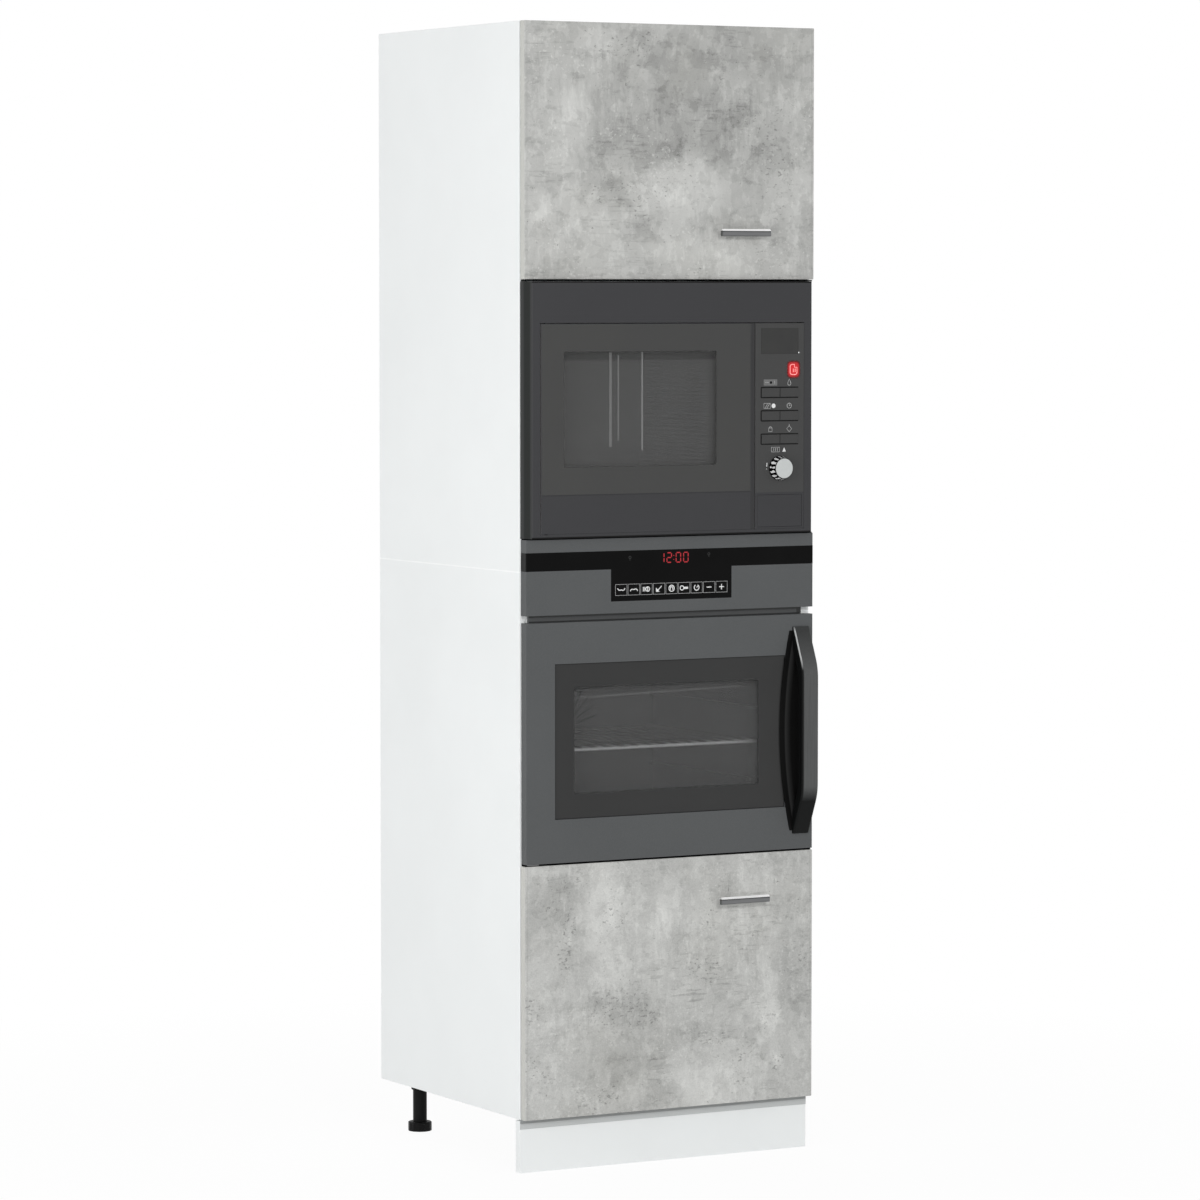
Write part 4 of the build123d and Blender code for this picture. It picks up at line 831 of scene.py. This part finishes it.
# The enamel is painted lighter near the mouth, as painted light against the shade of the door's border.
mouth_painted_light = rise(y, -0.185, -0.235)
enamel = mottled(baked, (50, 51, 52), (58, 59, 60))
enamel = tint(0.6 * speck, enamel, (104, 105, 107))
enamel = tint(0.9 * mouth_painted_light, enamel, (128, 129, 129))
front_plate = (z > 0.9550) * (y < -0.2470)
# Dark lines along the top and bottom of the front plate, and its right end, are painted shade in the gap.
plate_shade_lines = rise(z, 0.9938, 0.9948) + rise(z, 0.9880, 0.9870) + (x > 0.2745)
plate_paint = tint(rise(plate_shade_lines, 0.0, 1.0), (86, 88, 89), (44, 45, 45))
feed(shader, {
    "Base Color": tint(front_plate, enamel, plate_paint),
    "Roughness": 0.22 + 0.2 * baked,
    "Normal": relief(baked, 0.0002),
})
dress("dark_enamel", "speckled_enamel")

shader, place = begin_finish("chrome_wire", {"Specular IOR Level": 0.6})
plating = cloud(place, 300.0)
x, y, z = axes(place)
# The wires are painted darker towards the rear as a painted dark reflection of the cavity.
painted_dark_reflection = rise(y, -0.212, -0.172)
chrome = mottled(plating, (232, 233, 234), (248, 249, 250))
feed(shader, {
    "Base Color": tint(painted_dark_reflection, chrome, (112, 110, 106)),
    "Metallic": 0.35 + 0.65 * rise(y, -0.208, -0.195),
    "Roughness": 0.22 + 0.15 * plating + 0.4 * painted_dark_reflection,
    "Normal": relief(plating, 0.00003),
})
dress("rack_wire", "chrome_wire")

shader, place = begin_finish("woven_seal", {"Specular IOR Level": 0.2})
x, y, z = axes(place)
weave = {"Vector": place, "Scale": 320.0}
braid = place.node("ShaderNodeTexWave", {"bands_direction": "DIAGONAL"}, weave, output="Fac")
lint = cloud(place, 900.0)
feed(shader, {
    "Base Color": tint(braid * lint, (34, 34, 35), (62, 62, 63)),
    "Roughness": 0.7 + 0.2 * lint,
    "Normal": relief(braid, 0.0003),
})
seal = block("oven_seal", (-0.2180, -0.2497, 0.5930), (0.2180, -0.2480, 0.9470))
pick_faces(seal, lambda centre, normal: abs(normal.y) > 0.9)
bpy.ops.mesh.inset(thickness=0.0090)
bpy.ops.mesh.bridge_edge_loops()
pick_edges(seal, lambda a, b: abs(a.y - b.y) > 0.001 and abs(a.x - b.x) < 0.0001)
bpy.ops.mesh.bevel(offset=0.012, segments=6, affect="EDGES")
pick_edges(seal, lambda a, b: a.y < -0.2496 and b.y < -0.2496)
bpy.ops.mesh.bevel(offset=0.0011, segments=3, affect="EDGES")
mount(seal, "woven_seal", "cabinet")

oven_rear, fan_z, fan_cover = 0.1600, 0.7700, 0.0060
print_patch(
    "oven_fan_cover", oven_rear, arc(0.0, fan_z, 0.0950, 0, 354, 59),
    "speckled_enamel", "cabinet", fan_cover,
)
fan_slots = []
for number in range(24):
    turn = math.radians(15 * number)
    swept = turn + 0.35
    fan_slots.append(stroke(
        0.0300 * math.cos(turn), fan_z + 0.0300 * math.sin(turn),
        0.0800 * math.cos(swept), fan_z + 0.0800 * math.sin(swept),
    ))
print_lines("oven_fan_slots", oven_rear - fan_cover, 0.0040, fan_slots, "black_moulding", "cabinet")
print_patch(
    "oven_lamp_cover", oven_rear, arc(-0.1500, 0.8900, 0.0240, 0, 350, 35),
    "pressed_glass", "cabinet", 0.0080,
)


# Oven fascia and door: sheet steel in satin grey metallic paint. The fascia's end is black where
# the touch glass runs out at its side.
shader, place = begin_finish("grey_metallic", {"Specular IOR Level": 0.22})
x, y, z = axes(place)
flake = cloud(place, 2200.0, 2.0)
spray = cloud(place, 5.0)
end = rise(abs(x), 0.2962, 0.2966) * (z > 1.0775) * (z < 1.1105)
paint = mottled(spray, (80, 82, 83), (84, 86, 87))
paint = tint(rise(flake, 0.45, 0.75), paint, (96, 97, 98))
feed(shader, {
    "Base Color": tint(end, paint, (14, 14, 14)),
    "Roughness": 0.42 + 0.14 * flake,
    "Normal": relief(flake, 0.00002),
})
dress("oven_paint", "grey_metallic")

shader, place = begin_finish("black_backed_glass", {"Specular IOR Level": 0.06})
smudge = cloud(place, 12.0, 5.0)
feed(shader, {
    "Base Color": mottled(smudge, (9, 9, 9), (13, 13, 13), 0.35, 0.7),
    "Roughness": 0.08 + 0.16 * smudge,
})
dress("black_glass", "black_backed_glass")


# Touch panel prints: nine framed keys with plain pictograms and a red four-digit clock behind the
# black glass. Nothing here moves, because the keys sense a finger.
glass_front = -0.2680
key_pitch, key_half, key_z = 0.0260, 0.0118, 1.0403
key_x = [(number - 4) * key_pitch for number in range(9)]
key_frames = [(outline(frame_x, key_z, key_half, 0.0098), True) for frame_x in key_x]
print_lines("oven_key_frames", glass_front, 0.0010, key_frames, "pale_ink", "cabinet")
low_wave = arc(key_x[0] - 0.0035, key_z + 0.0030, 0.0035, 180, 290, 6)
low_wave = low_wave + arc(key_x[0] + 0.0035, key_z + 0.0030, 0.0040, 230, 360, 6)
high_wave = arc(key_x[1] - 0.0035, key_z - 0.0030, 0.0035, 180, 70, 6)
high_wave = high_wave + arc(key_x[1] + 0.0035, key_z - 0.0030, 0.0040, 130, 0, 6)
key_signs = [
    (low_wave, False),
    (high_wave, False),
    stroke(key_x[2] - 0.0065, key_z - 0.004, key_x[2] - 0.0065, key_z + 0.004),
    stroke(key_x[2] - 0.0035, key_z - 0.004, key_x[2] - 0.0035, key_z + 0.004),
    (arc(key_x[2] + 0.0025, key_z, 0.0040, 0, 345, 20), True),
    stroke(key_x[2] + 0.0025, key_z - 0.004, key_x[2] + 0.0025, key_z + 0.004),
    stroke(key_x[3] + 0.0055, key_z + 0.0050, key_x[3] - 0.0030, key_z - 0.0030),
    (arc(key_x[4], key_z, 0.0055, 0, 345, 20), True),
    stroke(key_x[4] - 0.0025, key_z - 0.0026, key_x[4] - 0.0025, key_z + 0.0026),
    stroke(key_x[4] + 0.0025, key_z - 0.0026, key_x[4] + 0.0025, key_z + 0.0026),
    stroke(key_x[4] - 0.0025, key_z + 0.0026, key_x[4] + 0.0025, key_z + 0.0026),
    (arc(key_x[5] - 0.0045, key_z, 0.0038, 0, 345, 20), True),
    (arc(key_x[6], key_z, 0.0050, 120, 420, 18), False),
    stroke(key_x[6], key_z, key_x[6] + 0.0026, key_z + 0.0026),
    stroke(key_x[7] - 0.0050, key_z, key_x[7] + 0.0050, key_z),
    stroke(key_x[8] - 0.0050, key_z, key_x[8] + 0.0050, key_z),
    stroke(key_x[8], key_z - 0.0050, key_x[8], key_z + 0.0050),
]
print_lines("oven_key_signs", glass_front, 0.0017, key_signs, "white_ink", "cabinet")
print_patch(
    "oven_key_arrow", glass_front,
    [(key_x[3] - 0.0065, key_z - 0.0055), (key_x[3] + 0.0012, key_z - 0.0055), (key_x[3] - 0.0065, key_z + 0.0022)],
    "white_ink", "cabinet",
)
print_patch(
    "oven_key_stem", glass_front,
    [(key_x[5] - 0.0010, key_z - 0.0020), (key_x[5] + 0.0080, key_z - 0.0020),
     (key_x[5] + 0.0080, key_z + 0.0020), (key_x[5] - 0.0010, key_z + 0.0020)],
    "white_ink", "cabinet",
)

shader, place = begin_finish("red_digits", {"Emission Strength": 1.0})
pulse = cloud(place, 400.0)
feed(shader, {
    "Base Color": tint(pulse, (30, 2, 4), (50, 4, 6)),
    "Emission Color": mottled(pulse, (150, 14, 26), (196, 22, 36)),
    "Roughness": 0.3 + 0.2 * pulse,
})
digit_half_width, digit_half_height = 0.0047, 0.0086
digit_z = 1.0958
segments = {
    "top": ((-1, 1), (1, 1)), "middle": ((-1, 0), (1, 0)), "foot": ((-1, -1), (1, -1)),
    "left_up": ((-1, 0), (-1, 1)), "left_down": ((-1, -1), (-1, 0)),
    "right_up": ((1, 0), (1, 1)), "right_down": ((1, -1), (1, 0)),
}
shown = {
    "1": ("right_up", "right_down"),
    "2": ("top", "right_up", "middle", "left_down", "foot"),
    "0": ("top", "right_up", "right_down", "foot", "left_down", "left_up"),
}
clock_lines = []
for digit, digit_x in (("1", -0.0205), ("2", -0.0050), ("0", 0.0140), ("0", 0.0295)):
    for segment in shown[digit]:
        ends = []
        (start_x, start_z), (end_x, end_z) = segments[segment]
        for near, far in (((start_x, start_z), (end_x, end_z)), ((end_x, end_z), (start_x, start_z))):
            pulled = [0.88 * near[axis] + 0.12 * far[axis] for axis in (0, 1)]
            ends.append((digit_x + pulled[0] * digit_half_width, digit_z + pulled[1] * digit_half_height))
        clock_lines.append((ends, False))
for dot_z in (digit_z - 0.0036, digit_z + 0.0036):
    clock_lines.append(stroke(0.0043, dot_z - 0.0006, 0.0043, dot_z + 0.0006))
print_lines("oven_clock", glass_front, 0.0019, clock_lines, "red_digits", "cabinet")
printing_ink("dim_ink", (52, 52, 52), (66, 66, 66))
sensor_lines = []
for mark_x, mark_z in ((-0.0860, 1.0970), (0.0775, 1.0992)):
    sensor_lines.append((arc(mark_x, mark_z + 0.0012, 0.0022, 0, 330, 12), True))
    sensor_lines.append(stroke(mark_x, mark_z - 0.0045, mark_x, mark_z - 0.0010))
print_lines("oven_sensor_marks", glass_front, 0.0009, sensor_lines, "dim_ink", "cabinet")


# Oven panes: an outer pane let into the door, printed dark round a clear middle on both faces, and
# an inner heat-proof pane with a thin grey film that keeps the warmth in.
clear_middle = (-0.0080, 0.77385)
clear_half = (0.1905, 0.0949)
shader, place = begin_finish("bordered_pane", {"Specular IOR Level": 0.15})
x, y, z = axes(place)
rear_face = 0.006 * (y > -0.2640)
border = rise(abs(x - clear_middle[0]) - rear_face, clear_half[0] - 0.002, clear_half[0] + 0.002)
border = border + rise(abs(z - clear_middle[1]) - rear_face, clear_half[1] - 0.002, clear_half[1] + 0.002)
border = rise(border, 0.0, 1.0)
ground_edge = rise(abs(x), 0.2372, 0.2380) + rise(abs(z - 0.7725), 0.1374, 0.1382)
smudge = cloud(place, 5.0)
printed = mottled(smudge, (53, 53, 53), (56, 56, 56))
feed(shader, {
    "Base Color": tint(rise(ground_edge, 0.0, 1.0), printed, (22, 22, 22)),
    "Alpha": 0.12 + 0.88 * border,
    "Roughness": 0.08 + 0.1 * smudge,
})
dress("oven_outer_glass", "bordered_pane")

shader, place = begin_finish("filmed_pane", {"Specular IOR Level": 0.15})
x, y, z = axes(place)
smudge = cloud(place, 7.0)
# A pale slanting line on the film is a painted highlight, and the film is painted lighter near the edges of the clear
# middle as painted light.
film_highlight_line = rise(abs(z - 0.8535 - 0.026 * x), 0.0024, 0.0008) * rise(x, 0.165, 0.130)
film = mottled(smudge, (146, 146, 146), (150, 150, 150))
painted_edge_light = rise(abs(x - clear_middle[0] - 0.006), clear_half[0] - 0.010, clear_half[0])
painted_edge_light = painted_edge_light + rise(abs(z - clear_middle[1]), clear_half[1] - 0.010, clear_half[1])
film = tint(rise(painted_edge_light, 0.0, 1.0), film, (172, 172, 172))
feed(shader, {
    "Base Color": tint(0.6 * film_highlight_line, film, (206, 206, 206)),
    "Alpha": 0.21 + 0.04 * smudge,
    "Roughness": 0.1 + 0.12 * smudge,
})
dress("oven_clear_glass", "filmed_pane")


# Gap strips: thin black strips along the front edges of the shelves over the microwave, between
# the two appliances and under the oven. They are painted shade that makes the gaps look dark.
shader, place = begin_finish("gap_shade_black", {"Specular IOR Level": 0.0})
speckle = cloud(place, 1500.0, 2.0)
feed(shader, {
    "Base Color": mottled(speckle, (3, 3, 3), (9, 9, 9)),
    "Roughness": 0.85 + 0.1 * speckle,
    "Normal": relief(speckle, 0.0001),
})
# Each strip is a black sheet put in a gap as painted shade.
for strip_name, strip_front, strip_low, strip_high in (
    ("over_microwave", -0.2650, 1.5918, 1.5941),
    ("over_oven", -0.2660, 1.1336, 1.1354),
    ("under_oven", -0.2640, 0.5525, 0.5551),
):
    gap_shade = block(f"gap_shade_strip_{strip_name}", (-0.2960, strip_front, strip_low), (0.2960, -0.2481, strip_high))
    pick_edges(gap_shade, lambda a, b: a.y < strip_front + 0.001 and b.y < strip_front + 0.001 and abs(a.x - b.x) > 0.1)
    bpy.ops.mesh.bevel(offset=0.0006, segments=3, affect="EDGES")
    mount(gap_shade, "gap_shade_black", "cabinet")


# Oven handle: a bowed aluminium bar with a brushed grey front. Its flanks are painted black and its ends
# darker as painted shade, and a pale line on its upper left edge is a painted highlight. It is bolted to
# the door through a thin black plate, which is painted shade of the handle on the door.
shader, place = begin_finish("handle_grey_and_painted_shade", {"Specular IOR Level": 0.1})
x, y, z = axes(place)
brushing = cloud(place, 1.0, 4.0, (900.0, 900.0, 20.0))
handled = cloud(place, 9.0)
# Black flanks and the darkening towards both ends are painted shade, and the pale edge line is a painted highlight.
front = rise(x, 0.2562, 0.2588) * rise(z, 0.645, 0.672) * (0.40 + 0.60 * rise(z, 0.955, 0.880))
handle_edge_highlight = rise(abs(x - 0.2562), 0.0016, 0.0008) * rise(z, 0.885, 0.905) * rise(z, 0.964, 0.955)
grey = mottled(brushing, (82, 83, 83), (91, 92, 92))
feed(shader, {
    "Base Color": tint(handle_edge_highlight, tint(front, (15, 16, 16), grey), (176, 177, 177)),
    "Roughness": 0.3 + 0.14 * brushing + 0.1 * handled,
    "Normal": relief(brushing, 0.00003),
})
dress("handle_metal", "handle_grey_and_painted_shade")
door_front = -0.2680
plate_middle, plate_reach, plate_bow = 0.7750, 0.2272, 0.62
# The plate is a black sheet put where the handle's shade falls on the door, and the less dark band in it is painted
# shade too.
shader, place = begin_finish("handle_shadow_plate", {"Specular IOR Level": 0.1})
x, y, z = axes(place)
spark = cloud(place, 1300.0, 3.0)
inset = x - plate_reach - plate_bow * (z - plate_middle) * (z - plate_middle)
plate_band = rise(inset, 0.0095, 0.0110) * rise(inset, 0.0230, 0.0130)
feed(shader, {
    "Base Color": tint(plate_band, (9, 9, 9), (42, 42, 42)),
    "Roughness": 0.45 + 0.2 * spark,
    "Normal": relief(spark, 0.00006),
})
plate_outline = []
for number in range(17):
    plate_z = 0.5900 + 0.3660 * number / 16
    plate_outline.append((plate_reach + plate_bow * (plate_z - plate_middle) ** 2, plate_z))
plate_outline = plate_outline + [(0.2840, 0.9560), (0.2840, 0.5900)]
print_patch("oven_handle_shadow_plate", door_front, plate_outline, "handle_shadow_plate", "oven_door", 0.0010)


# Studio: a plain pale floor that keeps a soft shadow, a white surround, a large soft lamp at the
# left, a smaller one high in front, one behind, and the camera in front at the left.
def shown_rays(tree):
    """1 for what the camera sees, plainly or in gloss or glass, and 0 for light on the object."""
    rays = tree.nodes.new("ShaderNodeLightPath")
    kinds = ("Is Camera Ray", "Is Glossy Ray", "Is Transmission Ray")
    straight, gloss, glass = [Tone(tree, rays.outputs[kind]) for kind in kinds]
    return rise(straight + gloss + glass, 0.0, 1.0)


bpy.ops.object.select_all(action="DESELECT")
bpy.ops.mesh.primitive_plane_add(size=24.0, location=(0.0, 0.0, 0.0))
floor = bpy.context.object
floor.name = "studio_floor"
floor_paint = bpy.data.materials.new("floor_paint")
floor_paint.use_nodes = True
tree = floor_paint.node_tree
tree.nodes.clear()
seen = shown_rays(tree)
matt = seen.node("ShaderNodeBsdfDiffuse", None, {"Color": screen_colour(235, 235, 235)})
glow = seen.node("ShaderNodeEmission", None, {"Color": (1.0, 1.0, 1.0, 1.0), "Strength": 1.0})
x, y, z = axes(seen.node("ShaderNodeTexCoord", output="Object"))
fade = 0.955 + 0.045 * rise(x * x + y * y, 0.6, 4.0)
mixed = seen.node("ShaderNodeMixShader", None, {0: seen * fade, 1: matt, 2: glow})
surface = tree.nodes.new("ShaderNodeOutputMaterial")
tree.links.new(mixed.socket, surface.inputs["Surface"])
floor.data.materials.append(floor_paint)

world = bpy.data.worlds.new("white_surround")
bpy.context.scene.world = world
world.use_nodes = True
tree = world.node_tree
tree.nodes.clear()
seen = shown_rays(tree)
ambient = tint(seen, (196, 197, 197), (255, 255, 255))
surround = seen.node("ShaderNodeBackground", None, {"Color": ambient, "Strength": 1.0})
sky = tree.nodes.new("ShaderNodeOutputWorld")
tree.links.new(surround.socket, sky.inputs["Surface"])


def soft_lamp(name, place, target, size, power):
    """A square soft box that faces the target."""
    lamp_data = bpy.data.lights.new(name, "AREA")
    lamp_data.size = size
    lamp_data.energy = power
    lamp = bpy.data.objects.new(name, lamp_data)
    bpy.context.scene.collection.objects.link(lamp)
    lamp.location = place
    aim = [end - start for start, end in zip(place, target)]
    flat = math.hypot(aim[0], aim[1])
    lamp.rotation_euler = (math.atan2(flat, -aim[2]), 0.0, math.atan2(-aim[0], aim[1]))
    lamp.visible_glossy = False
    return lamp


soft_lamp("key_lamp", (-4.6, -2.2, 1.5), (0.0, 0.0, 0.9), 3.0, 88.0)
soft_lamp("front_lamp", (-1.2, -6.0, 3.0), (0.0, 0.0, 1.0), 0.9, 92.0)
soft_lamp("back_lamp", (2.0, 4.5, 2.6), (0.0, 0.0, 1.0), 3.0, 60.0)

camera_data = bpy.data.cameras.new("camera")
camera_data.sensor_width = 36.0
camera_data.lens = 153.115
camera_data.clip_end = 100.0
camera = bpy.data.objects.new("camera", camera_data)
bpy.context.scene.collection.objects.link(camera)
camera.location = (-4.5631, -8.2191, 1.5774)
camera.rotation_euler = (math.radians(90.0 - 3.4851), 0.0, math.radians(-29.0458))
bpy.context.scene.camera = camera
bpy.context.scene.view_settings.view_transform = "Standard"

bpy.context.view_layer.update()
